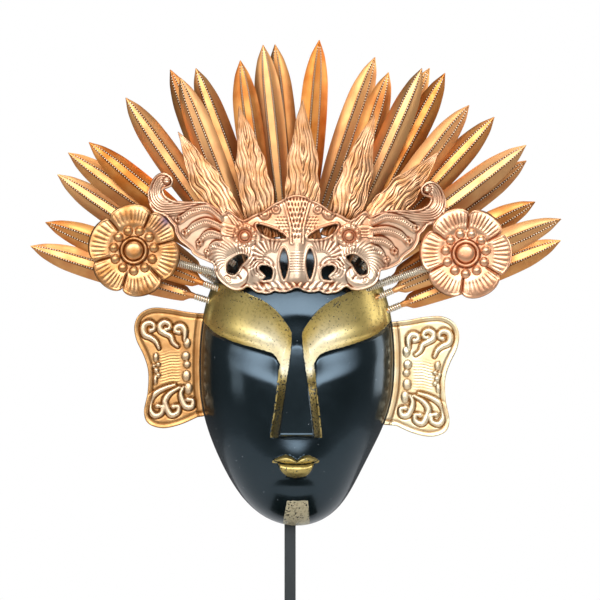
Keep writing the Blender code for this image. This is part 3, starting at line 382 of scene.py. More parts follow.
featherSheet = {
    "bright": "#e49a50",
    "warm": "#c97026",
    "rubbed": "#f9d6a0",
    "recessShadeColour": "#5e2c0e",
    "stain": "#5b3a2a",
    "roughness": (0.38, 0.50),
    "mottle": 14,  # mm
}
# Punched dots: the feathers' copper painted near white as a painted highlight
dotHighlightSheet = {
    "bright": "#fff2da",
    "warm": "#f7dbab",
    "rubbed": "#fff6e6",
    "recessShadeColour": "#8a5a2a",
    "stain": "#5b3a2a",
    "roughness": (0.35, 0.45),
    "mottle": 6,
    "metal": 0.4,  # partly matt, so the tips, painted pale as a highlight, stay bright from every side
}
chasedSheet = {
    "bright": "#f3c39c",
    "warm": "#df9d72",
    "rubbed": "#ffe8ca",
    "recessShadeColour": "#783c22",
    "stain": "#5b4750",
    "roughness": (0.30, 0.42),
    "mottle": 13,
}
# Left flower: darker than the right one, partly its own browner tone and partly painted shade
agedAndShadedSheet = {
    "bright": "#dcab78",
    "warm": "#bd8048",
    "rubbed": "#f7dcb0",
    "recessShadeColour": "#572c10",
    "stain": "#5b4750",
    "roughness": (0.32, 0.44),
    "mottle": 8,
}

lacquerMaterial = blackLacquer()
featherMaterial = sheetMetal("orange copper sheet", featherSheet)
dotHighlightMaterial = sheetMetal("punched copper, painted highlight", dotHighlightSheet)
chasedMaterial = sheetMetal("pale chased copper", chasedSheet)
agedAndShadedMaterial = sheetMetal("browned and shaded chased copper", agedAndShadedSheet)
wireMaterial = drawnWire()
paintMaterial = blackPaint()
print("materials made")


# The mask's form, the same as the solid's: across is a share of the half width, up a share of the height

maskForm = {
    "width": 140 * mm,
    "depth": 52 * mm,
    "noseRise": 22 * mm,
    "bridgeDip": 6 * mm,
    "eyeScoop": 8 * mm,
    "lidStep": 3.5 * mm,
    "lidWall": 0.012,  # share of the height in which the step under the lid falls
    "scoopPower": 0.62,  # lower puts the deepest line of the eye's hollow nearer the lid
    "mouthRise": 5 * mm,
    "lipRise": 3.5 * mm,
    "rimWall": 8 * mm,
    "crownPower": 2.8,
    "jawPower": 2.0,
    "jawTaper": {-1: 0.075, 1: 0.175},
    "jawPlace": -0.68,
    "jawSpread": 0.42,
    "domeFront": 3.0,
    "domeEdge": 2.2,
    "bridge": 0.630,
    "funnelTop": 0.745,  # where the hollow above the bridge has run out into the forehead
    "noseTip": 0.336,
    "noseBase": 0.320,
    "mouth": 0.229,
}
browLine = ((0.0, 0.625), (0.05, 0.673), (0.13, 0.717), (0.25, 0.761), (0.41, 0.795), (0.75, 0.839),
            (1.0, 0.85))
lidLine = ((0.0, 0.55), (0.14, 0.556), (0.22, 0.597), (0.30, 0.611), (0.57, 0.637), (0.73, 0.657),
           (0.85, 0.680), (1.0, 0.73))
noseFront = ((0.33, 0.178), (0.44, 0.125), (0.55, 0.075), (0.615, 0.050), (0.66, 0.040))
noseSide = ((0.33, 0.263), (0.44, 0.207), (0.55, 0.165), (0.615, 0.120), (0.66, 0.090))
upperLip = ((0.0, 0.2405), (0.06, 0.254), (0.12, 0.2595), (0.19, 0.252), (0.255, 0.2424))
mouthLine = ((0.0, 0.229), (0.12, 0.2295), (0.20, 0.2345), (0.255, 0.2424))
lowerLip = ((0.0, 0.181), (0.10, 0.187), (0.17, 0.205), (0.205, 0.232))


def rimPower(up):
    return np.where(up > 0.5, maskForm["crownPower"], maskForm["jawPower"])


def rimRatio(across, up):
    # 0 at the middle of the face, 1 on its outline
    power = rimPower(up)
    return (across**power + np.abs(2.0 * up - 1.0) ** power) ** (1.0 / power)


def halfWidth(side, up):
    taper = np.where(side > 0, maskForm["jawTaper"][1], maskForm["jawTaper"][-1])
    narrowing = bell(2.0 * up - 1.0 - maskForm["jawPlace"], maskForm["jawSpread"])
    return maskForm["width"] / 2 * (1.0 - taper * narrowing)


def dome(ratio, depth):
    return depth * np.maximum(1.0 - ratio ** maskForm["domeFront"], 0.0) ** (1.0 / maskForm["domeEdge"])


def ratioAtDepth(depth):
    # Where on the way out to the rim the dome has come down to this depth
    return (1.0 - (depth / maskForm["depth"]) ** maskForm["domeEdge"]) ** (1.0 / maskForm["domeFront"])


def eyeRelief(across, up):
    # The eye's hollow and the step under its lid start beside the nose and leave the bridge smooth
    lid = curveAt(lidLine, across)
    brow = curveAt(browLine, across)
    share = np.clip((up - lid) / (brow - lid), 0.0, 1.0)
    scoop = -maskForm["eyeScoop"] * np.sin(math.pi * share ** maskForm["scoopPower"])
    scoop = scoop * smoothStep(0.0, 0.05, across - curveAt(noseFront, up))
    wall = smoothStep(0.0, maskForm["lidWall"], lid - up) * (1.0 - smoothStep(0.0, 0.11, lid - up))
    wall = wall * smoothStep(-0.02, 0.05, across - curveAt(noseSide, up))
    return np.where(up >= brow, 0.0, np.where(up >= lid, scoop, -maskForm["lidStep"] * wall))


def lipRelief(across, up):
    mouth = curveAt(mouthLine, across)
    top = curveAt(upperLip, across)
    bottom = curveAt(lowerLip, across)
    inside = across < mouthLine[-1][0]
    upperShare = np.clip((up - mouth) / np.maximum(top - mouth, 1e-6), 0.0, 1.0)
    lowerShare = np.clip((up - bottom) / np.maximum(mouth - bottom, 1e-6), 0.0, 1.0)
    upper = np.where(inside, maskForm["lipRise"] * np.sin(math.pi * upperShare) ** 0.6, 0.0)
    lower = 1.2 * maskForm["lipRise"] * np.sin(math.pi * lowerShare) ** 0.6
    return np.where(up > mouth, upper, np.where(across < lowerLip[-1][0], lower, 0.0))


def faceRelief(across, up):
    bridge = maskForm["bridge"]
    base = maskForm["noseBase"] - 0.006
    tip = maskForm["noseTip"]
    funnel = 1.0 - smoothStep(bridge, maskForm["funnelTop"], up)
    funnel = funnel * smoothStep(0.50, bridge, up) * bell(across, 0.22)
    muzzle = bell(across, 0.32) * bell(up - 0.225, 0.09)
    chinGroove = bell(across, 0.25) * bell(up - 0.150, 0.022)
    relief = eyeRelief(across, up) - maskForm["bridgeDip"] * funnel
    relief = relief + maskForm["mouthRise"] * muzzle - 0.4 * maskForm["lipRise"] * chinGroove
    relief = relief + lipRelief(across, up)
    front = curveAt(noseFront, up)
    side = curveAt(noseSide, up)
    slope = np.clip((across - front) / (side - front), 0.0, 1.0)
    under = smoothStep(base, tip - 0.006, up)
    fade = 1.0 - smoothStep(bridge - 0.02, noseFront[-1][0], up)
    climb = np.clip((bridge - up) / (bridge - tip), 0.0, 1.0)
    keel = -maskForm["bridgeDip"] + (maskForm["noseRise"] + maskForm["bridgeDip"]) * climb**1.25
    ridge = keel * under * (1.0 - slope) + relief * slope
    onNose = (up > base) & (up < noseFront[-1][0])
    relief = relief + np.where(onNose, (np.maximum(ridge, relief) - relief) * fade, 0.0)
    return relief * (1.0 - smoothStep(0.90, 1.0, rimRatio(across, up)))


def frontDepth(x, z):
    up = z / maskHeight
    across = np.abs(x) / halfWidth(x, up)
    ratio = rimRatio(across, up)
    depth = dome(np.minimum(ratio, 1.0), maskForm["depth"]) + faceRelief(across, up)
    return np.where(ratio >= 1.0, 0.0, depth)


gilding = {
    "bare": -9.0,  # mm, where no leaf is near
    # Share of the half width that the leaf keeps off the nose's ridge and reaches past its side
    "besideNose": 0.012,
    "noseStrip": (0.318, 0.64),
    "mouthEnd": 0.262,
    "chinTop": 0.099,
}


def goldDistance(x, z):
    # How far inside the gilded areas a point lies, in millimetres; below zero it is bare lacquer
    up = z / maskHeight
    across = np.abs(x) / halfWidth(x, up)
    tall = maskHeight / mm
    wide = maskForm["width"] / 2 / mm
    lid = curveAt(lidLine, across)
    brow = curveAt(browLine, across)
    front = curveAt(noseFront, up)
    side = curveAt(noseSide, up)
    rim = (1.0 - rimRatio(across, up)) * wide + 0.2
    beside = (across - front - gilding["besideNose"]) * wide
    eye = np.minimum(np.minimum((up - lid) * tall, (brow - up) * tall * 0.9), beside)
    eye = np.minimum(eye, rim)
    noseStrip = np.minimum(beside, (side + gilding["besideNose"] - across) * wide)
    foot, top = gilding["noseStrip"]
    noseStrip = np.minimum(noseStrip, np.minimum((up - foot) * tall, (top - up) * tall))
    lips = np.minimum((curveAt(upperLip, across) - up) * tall, (up - curveAt(lowerLip, across)) * tall)
    lips = np.minimum(lips, (gilding["mouthEnd"] - across) * wide)
    # leaf kept off a strip along the mouth line, so black stands there as painted shade in the crease between
    # the lips
    lips = np.minimum(lips, np.abs(up - curveAt(mouthLine, across)) * tall - 0.5)
    spread = 1.0 - up / gilding["chinTop"]
    chinLeft = x / mm + 7.0 + 3.5 * spread
    chinRight = 7.7 + 1.4 * spread - x / mm
    chin = np.minimum(np.minimum(chinLeft, chinRight), (gilding["chinTop"] - up) * tall)
    chin = np.where(up < 0.12, chin, gilding["bare"])
    return np.maximum(np.maximum(eye, noseStrip), np.maximum(lips, chin))


leafWear = {  # how far the leaf is worn, from 0 to 1
    "nose": 0.75,
    "brow": 0.40,
    "chin": 0.48,
    "mouth": 0.25,
}


def goldWear(x, z):
    # Where hands and time have worn the leaf: the nose, the chin, the lips and along the brows
    up = z / maskHeight
    across = np.abs(x) / halfWidth(x, up)
    nose = smoothStep(0.56, 0.50, up) * smoothStep(0.30, 0.32, up) * smoothStep(0.30, 0.26, across)
    brow = bell(curveAt(browLine, across) - up, 0.035) * (up > 0.5)
    chin = smoothStep(0.12, 0.10, up)
    mouth = smoothStep(0.28, 0.26, up) * smoothStep(0.16, 0.18, up)
    return np.maximum(np.maximum(nose * leafWear["nose"], brow * leafWear["brow"]),
                      np.maximum(chin * leafWear["chin"], mouth * leafWear["mouth"]))


def paintedLeafHighlight(across, up):
    # Painted highlight: where the leaf is painted cream, over the lids beside the nose, and as painted light
    # on the chin
    lid = curveAt(lidLine, np.abs(across))
    share = (up - lid) / (curveAt(browLine, np.abs(across)) - lid)
    corner = smoothStep(0.66, 0.12, np.abs(across)) * smoothStep(0.85, 0.10, share)
    corner = corner * smoothStep(-0.3, 0.0, share)
    return np.maximum(corner, smoothStep(0.14, 0.12, up) * 0.8)


# The carving: a fine grid whose rows follow the chin, the mouth, the nose's base, the lids and the brows

carvingGrid = {
    "keyColumns": ((0.08, 0.16, 0.26, 0.53), (0.075, 0.135, 0.255, 0.90), (0.09, 0.178, 0.263, 0.975),
                   (0.035, 0.070, 0.150, 0.985), (0.022, 0.055, 0.140, 0.86), (0.12, 0.24, 0.36, 0.72)),
    "bandRows": (52, 30, 62, 44, 50),
    "innerSteps": (9, 10, 11),
    "outerSteps": 72,
    "hollowSides": 96,
    "hollowRings": 26,
}


def keyHeight(key, across):
    if key in (0, 5):
        power = maskForm["jawPower"] if key == 0 else maskForm["crownPower"]
        reach = (1.0 - across**power) ** (1.0 / power) / 2
        return 0.5 - reach if key == 0 else 0.5 + reach
    if key in (1, 2):
        return across * 0.0 + (maskForm["mouth"] if key == 1 else maskForm["noseBase"])
    return curveAt(lidLine if key == 3 else browLine, across)


def carvingRows():
    # Half rows of (across, up) from the middle outwards, each ending on the outline
    first, second, third = carvingGrid["innerSteps"]
    outer = np.linspace(0.0, 1.0, carvingGrid["outerSteps"] + 1)[1:]
    outer = 4.0 - (1.0 - outer) ** 1.6
    places = np.concatenate((np.linspace(0, 1, first + 1), np.linspace(1, 2, second + 1)[1:],
                             np.linspace(2, 3, third + 1)[1:], outer))
    keys = []
    for key, columns in enumerate(carvingGrid["keyColumns"]):
        across = np.interp(places, range(5), (0.0, *columns))
        keys.append(np.stack((across, keyHeight(key, across)), -1))
    rows = []
    lastBand = len(carvingGrid["bandRows"]) - 1
    for band, count in enumerate(carvingGrid["bandRows"]):
        steps = np.arange(count) / count
        if band == 0:
            steps = steps**1.5
        if band == lastBand:
            steps = np.append(1.0 - (1.0 - steps) ** 1.5, 1.0)
        for step in steps:
            row = keys[band] * (1.0 - step) + keys[band + 1] * step
            onRim = (band == 0 and step == 0.0) or (band == lastBand and step == 1.0)
            ratio = rimRatio(row[:, 0], row[:, 1])
            factor = 1.0 / ratio if onRim else 1.0 + (1.0 / ratio[-1] - 1.0) * (places / 4.0) ** 4
            rows.append(np.array((0.0, 0.5)) + (row - (0.0, 0.5)) * factor[:, None])
    return np.array(rows)


def hollowPoint(angle, ratio):
    # A point inside the hollow at a share of the way out to its edge, across and up in metres
    direction = np.array((math.cos(angle), math.sin(angle)))
    direction = direction / rimRatio(abs(direction[0]), 0.5 + direction[1] / 2)
    width = halfWidth(direction[0], 0.5 + direction[1] / 2) - maskForm["rimWall"]
    height = maskHeight / 2 - maskForm["rimWall"]
    return direction[0] * ratio * width, maskHeight / 2 + direction[1] * ratio * height


def flatRing(outer, inner):
    # Triangles between two closed outlines, as indices into outer + inner
    points = [Vector(p) for p in outer + inner]
    edges = [(i, (i + 1) % len(outer)) for i in range(len(outer))]
    edges += [(len(outer) + i, len(outer) + (i + 1) % len(inner)) for i in range(len(inner))]
    _, _, faces, sources, _, _ = delaunay_2d_cdt(points, edges, [], 1, 1e-9)
    corners = [[sources[i][0] for i in face] for face in faces]
    middles = np.array([np.mean([points[i] for i in face], axis=0) for face in corners])
    hole = insideOutline(middles, np.array(inner))
    return [face for face, within in zip(corners, hole) if not within]


def insideOutline(points, outline):
    # Which points lie inside a closed outline
    crossed = np.zeros(len(points), bool)
    for a, b in zip(outline, np.roll(outline, 1, axis=0)):
        if a[1] == b[1]:
            continue
        spans = (a[1] > points[:, 1]) != (b[1] > points[:, 1])
        crossed ^= spans & (points[:, 0] < (b[0] - a[0]) * (points[:, 1] - a[1]) / (b[1] - a[1]) + a[0])
    return crossed


def makeCarving():
    rows = carvingRows()
    half = rows.shape[1]
    across = np.concatenate((-rows[:, :0:-1, 0], rows[:, :, 0]), axis=1)
    up = np.concatenate((rows[:, :0:-1, 1], rows[:, :, 1]), axis=1)
    x = across * halfWidth(across, up)
    z = up * maskHeight
    depth = frontDepth(x, z)
    depth[0] = depth[-1] = depth[:, 0] = depth[:, -1] = 0.0
    gold = goldDistance(x, z)
    wear = goldWear(x, z)
    columns = 2 * half - 1
    vertices = np.stack((x, -depth, z), -1).reshape(-1, 3)
    faces = gridFaces(len(rows), columns)
    index = np.arange(len(vertices)).reshape(len(rows), columns)
    rim = [*index[0], *index[1:-1, -1], *index[-1, ::-1], *index[-2:0:-1, 0]]

    hollowDepth = maskForm["depth"] - maskForm["eyeScoop"] - maskForm["bridgeDip"] - maskForm["rimWall"]
    ratios = 1.0 - np.linspace(0.0, 0.97, carvingGrid["hollowRings"]) ** 1.8
    sides = carvingGrid["hollowSides"]
    inner = []
    for ratio in ratios:
        for k in range(sides):
            px, pz = hollowPoint(2 * math.pi * k / sides, ratio)
            inner.append((px, -float(dome(ratio, hollowDepth)), pz))
    start = len(vertices)
    inner.append((0.0, -hollowDepth, maskHeight / 2))
    faces += gridFaces(len(ratios), sides, closed=True, start=start)
    last = start + (len(ratios) - 1) * sides
    faces += [[last + k, last + (k + 1) % sides, start + len(inner) - 1] for k in range(sides)]
    outerLoop = [(vertices[i][0], vertices[i][2]) for i in rim]
    innerLoop = [(p[0], p[2]) for p in inner[:sides]]
    loop = rim + [start + k for k in range(sides)]
    faces += [[int(loop[i]) for i in face] for face in flatRing(outerLoop, innerLoop)]

    vertices = np.concatenate((vertices, inner)) + chinPoint
    leaf = np.concatenate((gold.reshape(-1), np.full(len(inner), gilding["bare"])))
    worn = np.concatenate((wear.reshape(-1), np.zeros(len(inner))))
    # painted highlight: where the leaf is painted cream
    pale = np.concatenate((paintedLeafHighlight(across, up).reshape(-1), np.zeros(len(inner))))
    carving = addSurface("carvedFace", vertices, faces, lacquerMaterial,
                         {"goldLeaf": leaf, "goldWear": worn, "goldPaintedHighlight": pale})
    sharpenEdges(carving, 50)
    dress(carving, "black_lacquered_wood", "wooden_mask")


makeCarving()
print("carving made")


# Feathers: folded strips with a raised band, each on a stem wound with wire

featherForm = {
    "width": 19.5 * mm,
    "band": 6.0 * mm,
    "sheet": 0.45 * mm,
    "fold": math.radians(32),
    "mostRoll": math.radians(16),
    "air": 0.8 * mm,
    "neck": 12 * mm,
    "stemDiameter": 5.0 * mm,
    "stemSocket": 5.5 * mm,
    "stemSides": 12,
    "edgeBead": 0.22 * mm,  # low ridge along each fold that carries the punched dots
    "flankBow": 0.35 * mm,
    "stations": 84,
    "dotPitch": 1.9 * mm,
    "dotDiameter": 1.2 * mm,
    "dotHeight": 0.45 * mm,
    "mostPale": 0.40,  # how much the palest feathers lean towards the rubbed colour
}
featherWidths = ((0.0, 0.48), (0.12, 0.70), (0.45, 1.0), (0.76, 0.94), (0.91, 0.56), (1.0, 0.03))
# Left to right: depth row, place on the crown's arc, heading, length in mm, roll; angles in degrees
feathers = (
    (1, 158, 163, 132, 10), (2, 149, 159, 130, -12), (0, 146, 146, 135, 12), (1, 134, 145, 138, 5),
    (2, 131, 140, 134, 15), (1, 127, 125, 137, 0), (0, 122, 112, 138, -16), (2, 121, 111, 134, -14),
    (1, 112, 110, 133, 4), (2, 109, 98, 134, 10), (1, 98, 96, 140, 6), (0, 93, 95, 139, -16),
    (2, 85, 86, 146, 15), (0, 81, 71, 137, 14), (1, 67, 73, 128, 8), (2, 63, 66, 142, -14),
    (0, 67, 62, 141, 10), (1, 58, 62, 143, -8), (2, 54, 53, 136, 12), (1, 50, 47, 138, -12),
    (2, 46, 37, 144, -6), (0, 40, 36, 134, 10), (1, 32, 28, 125, 14), (2, 26, 23, 139, 12),
    (1, 16, 22, 132, -10),
)
crownArcLevel = maskHeight * 0.66
flankWidth = (featherForm["width"] - featherForm["band"]) / 2 / math.cos(featherForm["fold"])
foldRise = flankWidth * math.sin(featherForm["fold"])
featherFrontReach = featherForm["band"] / 2 * math.sin(featherForm["mostRoll"]) + foldRise / 2
featherBackReach = featherForm["width"] / 2 * math.sin(featherForm["mostRoll"]) + foldRise / 2


def featherRowDepth(row):
    pitch = featherFrontReach + featherBackReach + featherForm["air"]
    return max(featherBackReach, featherForm["stemDiameter"]) + featherForm["air"] + row * pitch


featherFront = featherRowDepth(2) + featherFrontReach + featherForm["air"]


def woodReach(start, direction, near, far, depth):
    # How far a line at this depth runs before it leaves the wood, found between near and far
    target = ratioAtDepth(depth)
    for _ in range(40):
        reach = (near + far) / 2
        x, z = start[0] + direction[0] * reach, start[1] + direction[1] * reach
        up = z / maskHeight
        if rimRatio(abs(x) / halfWidth(x, up), up) < target:
            near = reach
        else:
            far = reach
    return near


def surfacePoint(angle, depth, level):
    # Where a ray at this depth, from the middle of the crown's arc, leaves the wood
    direction = np.array((math.cos(angle), math.sin(angle)))
    near = woodReach((0.0, level), direction, 0.0, maskHeight, depth)
    return Vector((direction[0] * near, -depth, level + direction[1] * near))


def frameOf(direction, roll=0.0):
    # Sideways and forward directions of a piece that points along direction, turned about it
    out = Vector((0.0, -1.0, 0.0))
    out = (out - direction * out.dot(direction)).normalized()
    across = out.cross(direction).normalized() * -1.0
    turn = Matrix.Rotation(roll, 3, direction)
    return turn @ across, turn @ out


def featherSection(width):
    # Half of a blade's cross-section at a share of its full width: sideways, forward, and its shade
    band = featherForm["band"] / 2 * width
    flank = flankWidth * width
    fold = featherForm["fold"]
    front = foldRise / 2 * width
    bead = featherForm["edgeBead"] * min(width * 1.4, 1.0)
    bow = featherForm["flankBow"] * width
    section = [(0.0, front - bead * 0.2, 0.0), (band * 0.45, front - bead * 0.2, 0.0),
               (band * 0.64, front - bead * 0.2, 0.15), (band * 0.78, front, 0.85),
               (band * 0.90, front + bead, 0.95), (band, front + bead, 0.95)]
    for share in (0.07, 0.16, 0.32, 0.5, 0.68, 0.84, 0.94, 1.0):
        along = flank * share
        lift = bow * math.sin(math.pi * share)
        dip = bead * (1.0 - share / 0.16) if share < 0.16 else 0.0
        section.append((band + along * math.cos(fold) + lift * math.sin(fold),
                        front - along * math.sin(fold) + lift * math.cos(fold) + dip,
                        0.85 if share == 0.07 else 0.18 * share))
    return section


def makeFeather(number, row, place, heading, length, roll):
    depth = featherRowDepth(row)
    root = surfacePoint(math.radians(place), depth, crownArcLevel)
    angle = math.radians(heading)
    direction = Vector((math.cos(angle), 0.0, math.sin(angle)))
    across, out = frameOf(direction, math.radians(roll))
    neck = featherForm["neck"]
    blade = length * mm - neck
    count = featherForm["stations"]
    ring = []
    shade = []
    dots = ([], [])
    stations = 1.0 - (1.0 - np.linspace(0.0, 1.0, count)) ** 1.15
    for share in stations:
        width = float(curveAt(featherWidths, share)) * (0.45 + 0.55 * float(smoothStep(0.0, 0.05, share)))
        section = featherSection(width)
        centre = root + direction * (neck + blade * share)
        mirrored = [(-a, f, s) for a, f, s in section[:0:-1]] + section
        thick = featherForm["sheet"] * max(width, 0.4)
        top = [centre + across * a + out * f for a, f, _ in mirrored]
        under = [centre + across * a + out * (f - thick) for a, f, _ in mirrored[::-1]]
        ring.append(top + under)
        shade += [s for _, _, s in mirrored] + [0.3] * len(mirrored)
        if 0.03 < share < 0.965:
            for side, line in zip((-1, 1), dots):
                line.append(centre + across * (side * section[5][0] * 0.97) + out * section[5][1])
    size = len(ring[0])
    vertices = [p for r in ring for p in r]
    faces = tubeFaces(count, size)

    stem = []
    sides = featherForm["stemSides"]
    radius = featherForm["stemDiameter"] / 2
    for reach, thickness in ((-featherForm["stemSocket"], 0.62), (neck * 0.7, 0.62), (neck * 0.86, 0.8),
                             (neck, 0.95), (neck * 1.35, 0.7), (neck * 1.8, 0.12)):
        centre = root + direction * reach + out * (foldRise * 0.08 if reach > 0 else 0.0)
        stem += circleAround(centre, across, out, radius * thickness, sides)
    vertices, faces = joinSurfaces(((vertices, faces), (stem, tubeFaces(len(stem) // sides, sides))))
    shade += [0.1] * len(stem)
    pale = np.full(len(vertices), featherForm["mostPale"] * (number * 0.618 % 1.0))
    piece = addSurface(f"featherBlade{number:02d}", np.array(vertices) + chinPoint, faces, featherMaterial,
                       {"recessShade": shade, "rubbed": pale})
    sharpenEdges(piece, 26)
    dress(piece, "orange_copper", f"feather_{number:02d}")
    winding = [root + direction * reach for reach in (-1.0 * mm, neck * 0.82)]
    return dots, out, winding


dotLines = []
stemPaths = []
for number, feather in enumerate(feathers, start=1):
    lines, outwards, winding = makeFeather(number, *feather)
    dotLines += [(line, outwards) for line in lines]
    stemPaths.append(winding)
print("feathers made")


# Geometry Nodes trees for what repeats or follows a line

def newTree(name, inputs):
    # A tree with a geometry in and out, and a named input for each size
    tree = bpy.data.node_groups.new(name, "GeometryNodeTree")
    tree.interface.new_socket("Geometry", in_out="INPUT", socket_type="NodeSocketGeometry")
    tree.interface.new_socket("Geometry", in_out="OUTPUT", socket_type="NodeSocketGeometry")
    for label, kind in inputs.items():
        tree.interface.new_socket(label, in_out="INPUT", socket_type=kind)
    source = addNode(tree, "NodeGroupInput")
    return tree, source.outputs


def endTree(tree, geometry, material):
    solid = addNode(tree, "GeometryNodeRealizeInstances", {"Geometry": geometry}).outputs[0]
    smooth = addNode(tree, "GeometryNodeSetShadeSmooth", {"Geometry": solid}).outputs[0]
    coated = addNode(tree, "GeometryNodeSetMaterial", {"Geometry": smooth, "Material": material}).outputs[0]
    addNode(tree, "NodeGroupOutput", {"Geometry": coated})


def domesTree():
    # Round-headed domes on the points of lines, or on loose points, leaning along the guide's attribute
    tree, given = newTree("raised domes", {
        "Pitch": "NodeSocketFloat", "Diameter": "NodeSocketFloat", "Height": "NodeSocketFloat",
        "Segments": "NodeSocketInt", "Along Lines": "NodeSocketBool", "Material": "NodeSocketMaterial"})
    lines = addNode(tree, "GeometryNodeMeshToCurve", {"Mesh": given["Geometry"]}).outputs[0]
    spaced = addNode(tree, "GeometryNodeResampleCurve", {
        "Curve": lines, "Length": given["Pitch"]}, mode="LENGTH").outputs[0]
    places = addNode(tree, "GeometryNodeSwitch", {
        0: given["Along Lines"], 1: given["Geometry"], 2: spaced}, input_type="GEOMETRY").outputs[0]
    rings = addNode(tree, "ShaderNodeMath", {0: given["Segments"], 1: 0.6}, operation="MULTIPLY").outputs[0]
    ball = addNode(tree, "GeometryNodeMeshUVSphere", {
        "Segments": given["Segments"], "Rings": rings, "Radius": 0.5}).outputs["Mesh"]
    lean = addNode(tree, "GeometryNodeInputNamedAttribute", {
        "Name": "lean"}, data_type="FLOAT_VECTOR").outputs[0]
    turned = addNode(tree, "FunctionNodeAlignRotationToVector", {"Vector": lean}, axis="Z").outputs[0]
    tall = addNode(tree, "ShaderNodeMath", {0: given["Height"], 1: 2.0}, operation="MULTIPLY").outputs[0]
    size = addNode(tree, "ShaderNodeCombineXYZ", {
        0: given["Diameter"], 1: given["Diameter"], 2: tall}).outputs[0]
    heads = addNode(tree, "GeometryNodeInstanceOnPoints", {
        "Points": places, "Instance": ball, "Rotation": turned, "Scale": size}).outputs[0]
    endTree(tree, heads, given["Material"])
    return tree


def coilTree():
    # Wire wound as a coil around guide lines
    tree, given = newTree("wound wire", {
        "Coil Radius": "NodeSocketFloat", "Wire Radius": "NodeSocketFloat", "Pitch": "NodeSocketFloat",
        "Steps Per Turn": "NodeSocketInt", "Material": "NodeSocketMaterial"})
    lines = addNode(tree, "GeometryNodeMeshToCurve", {"Mesh": given["Geometry"]}).outputs[0]
    step = addNode(tree, "ShaderNodeMath", {
        0: given["Pitch"], 1: given["Steps Per Turn"]}, operation="DIVIDE").outputs[0]
    spaced = addNode(tree, "GeometryNodeResampleCurve", {
        "Curve": lines, "Length": step}, mode="LENGTH").outputs[0]
    place = addNode(tree, "GeometryNodeSplineParameter").outputs["Length"]
    turns = addNode(tree, "ShaderNodeMath", {0: place, 1: given["Pitch"]}, operation="DIVIDE").outputs[0]
    angle = addNode(tree, "ShaderNodeMath", {0: turns, 1: 2 * math.pi}, operation="MULTIPLY").outputs[0]
    sine = addNode(tree, "ShaderNodeMath", {0: angle}, operation="SINE").outputs[0]
    cosine = addNode(tree, "ShaderNodeMath", {0: angle}, operation="COSINE").outputs[0]
    normal = addNode(tree, "GeometryNodeInputNormal").outputs[0]
    tangent = addNode(tree, "GeometryNodeInputTangent").outputs[0]
    binormal = addNode(tree, "ShaderNodeVectorMath", {
        0: tangent, 1: normal}, operation="CROSS_PRODUCT").outputs[0]
    first = addNode(tree, "ShaderNodeVectorMath", {0: normal, "Scale": cosine}, operation="SCALE").outputs[0]
    second = addNode(tree, "ShaderNodeVectorMath", {0: binormal, "Scale": sine}, operation="SCALE").outputs[0]
    around = addNode(tree, "ShaderNodeVectorMath", {0: first, 1: second}, operation="ADD").outputs[0]
    offset = addNode(tree, "ShaderNodeVectorMath", {
        0: around, "Scale": given["Coil Radius"]}, operation="SCALE").outputs[0]
    wound = addNode(tree, "GeometryNodeSetPosition", {"Geometry": spaced, "Offset": offset}).outputs[0]
    section = addNode(tree, "GeometryNodeCurvePrimitiveCircle", {
        "Resolution": 6, "Radius": given["Wire Radius"]}).outputs[0]
    wire = addNode(tree, "GeometryNodeCurveToMesh", {
        "Curve": wound, "Profile Curve": section, "Fill Caps": True}).outputs[0]
    endTree(tree, wire, given["Material"])
    return tree


def makeGuide(lines, leans=None):
    # A mesh of bare lines, in the mask's frame, for a tree to work along
    points = [Vector(point) + Vector(chinPoint) for line in lines for point in line]
    edges = []
    start = 0
    for line in lines:
        edges += [(start + i, start + i + 1) for i in range(len(line) - 1)]
        start += len(line)
    mesh = bpy.data.meshes.new("guide")
    mesh.from_pydata(points, edges, [])
    if leans:
        vectors = np.array([lean for line, lean in zip(lines, leans) for _ in line], np.float32)
        mesh.attributes.new("lean", "FLOAT_VECTOR", "POINT").data.foreach_set("vector", vectors.ravel())
    return addObject("guide", mesh)


def growPiece(name, guide, tree, values):
    # Runs a tree on its guide and keeps the result as a plain mesh piece
    step = guide.modifiers.new(tree.name, "NODES")
    step.node_group = tree
    for item in tree.interface.items_tree:
        if item.in_out == "INPUT" and item.name in values:
            step[item.identifier] = values[item.name]
    bpy.context.view_layer.update()
    evaluated = guide.evaluated_get(bpy.context.evaluated_depsgraph_get())
    mesh = bpy.data.meshes.new_from_object(evaluated)
    mesh.name = name
    bpy.data.objects.remove(guide, do_unlink=True)
    return addObject(name, mesh)


domes = domesTree()
coils = coilTree()

punchedDots = growPiece(
    "punchedDots", makeGuide([line for line, _ in dotLines], [lean for _, lean in dotLines]), domes, {
        "Pitch": featherForm["dotPitch"], "Diameter": featherForm["dotDiameter"],
        "Height": featherForm["dotHeight"], "Segments": 6, "Along Lines": True, "Material": dotHighlightMaterial})
dress(punchedDots, "orange_copper")

windingForm = {
    "wireDiameter": 1.5 * mm,
    "pitch": 1.65 * mm,
    "stepsPerTurn": 14,
}


def windWire(name, paths, diameter, form):
    # Wire wound along each path, to this outer diameter
    return growPiece(name, makeGuide(paths), coils, {
        "Coil Radius": (diameter - form["wireDiameter"]) / 2, "Wire Radius": form["wireDiameter"] / 2,
        "Pitch": form["pitch"], "Steps Per Turn": form["stepsPerTurn"], "Material": wireMaterial})


dress(windWire("stemWindings", stemPaths, featherForm["stemDiameter"], windingForm), "spring_wire")
print("dots and windings made")


# Chased plates: flat drawings cut to fine triangles, with a height for every point

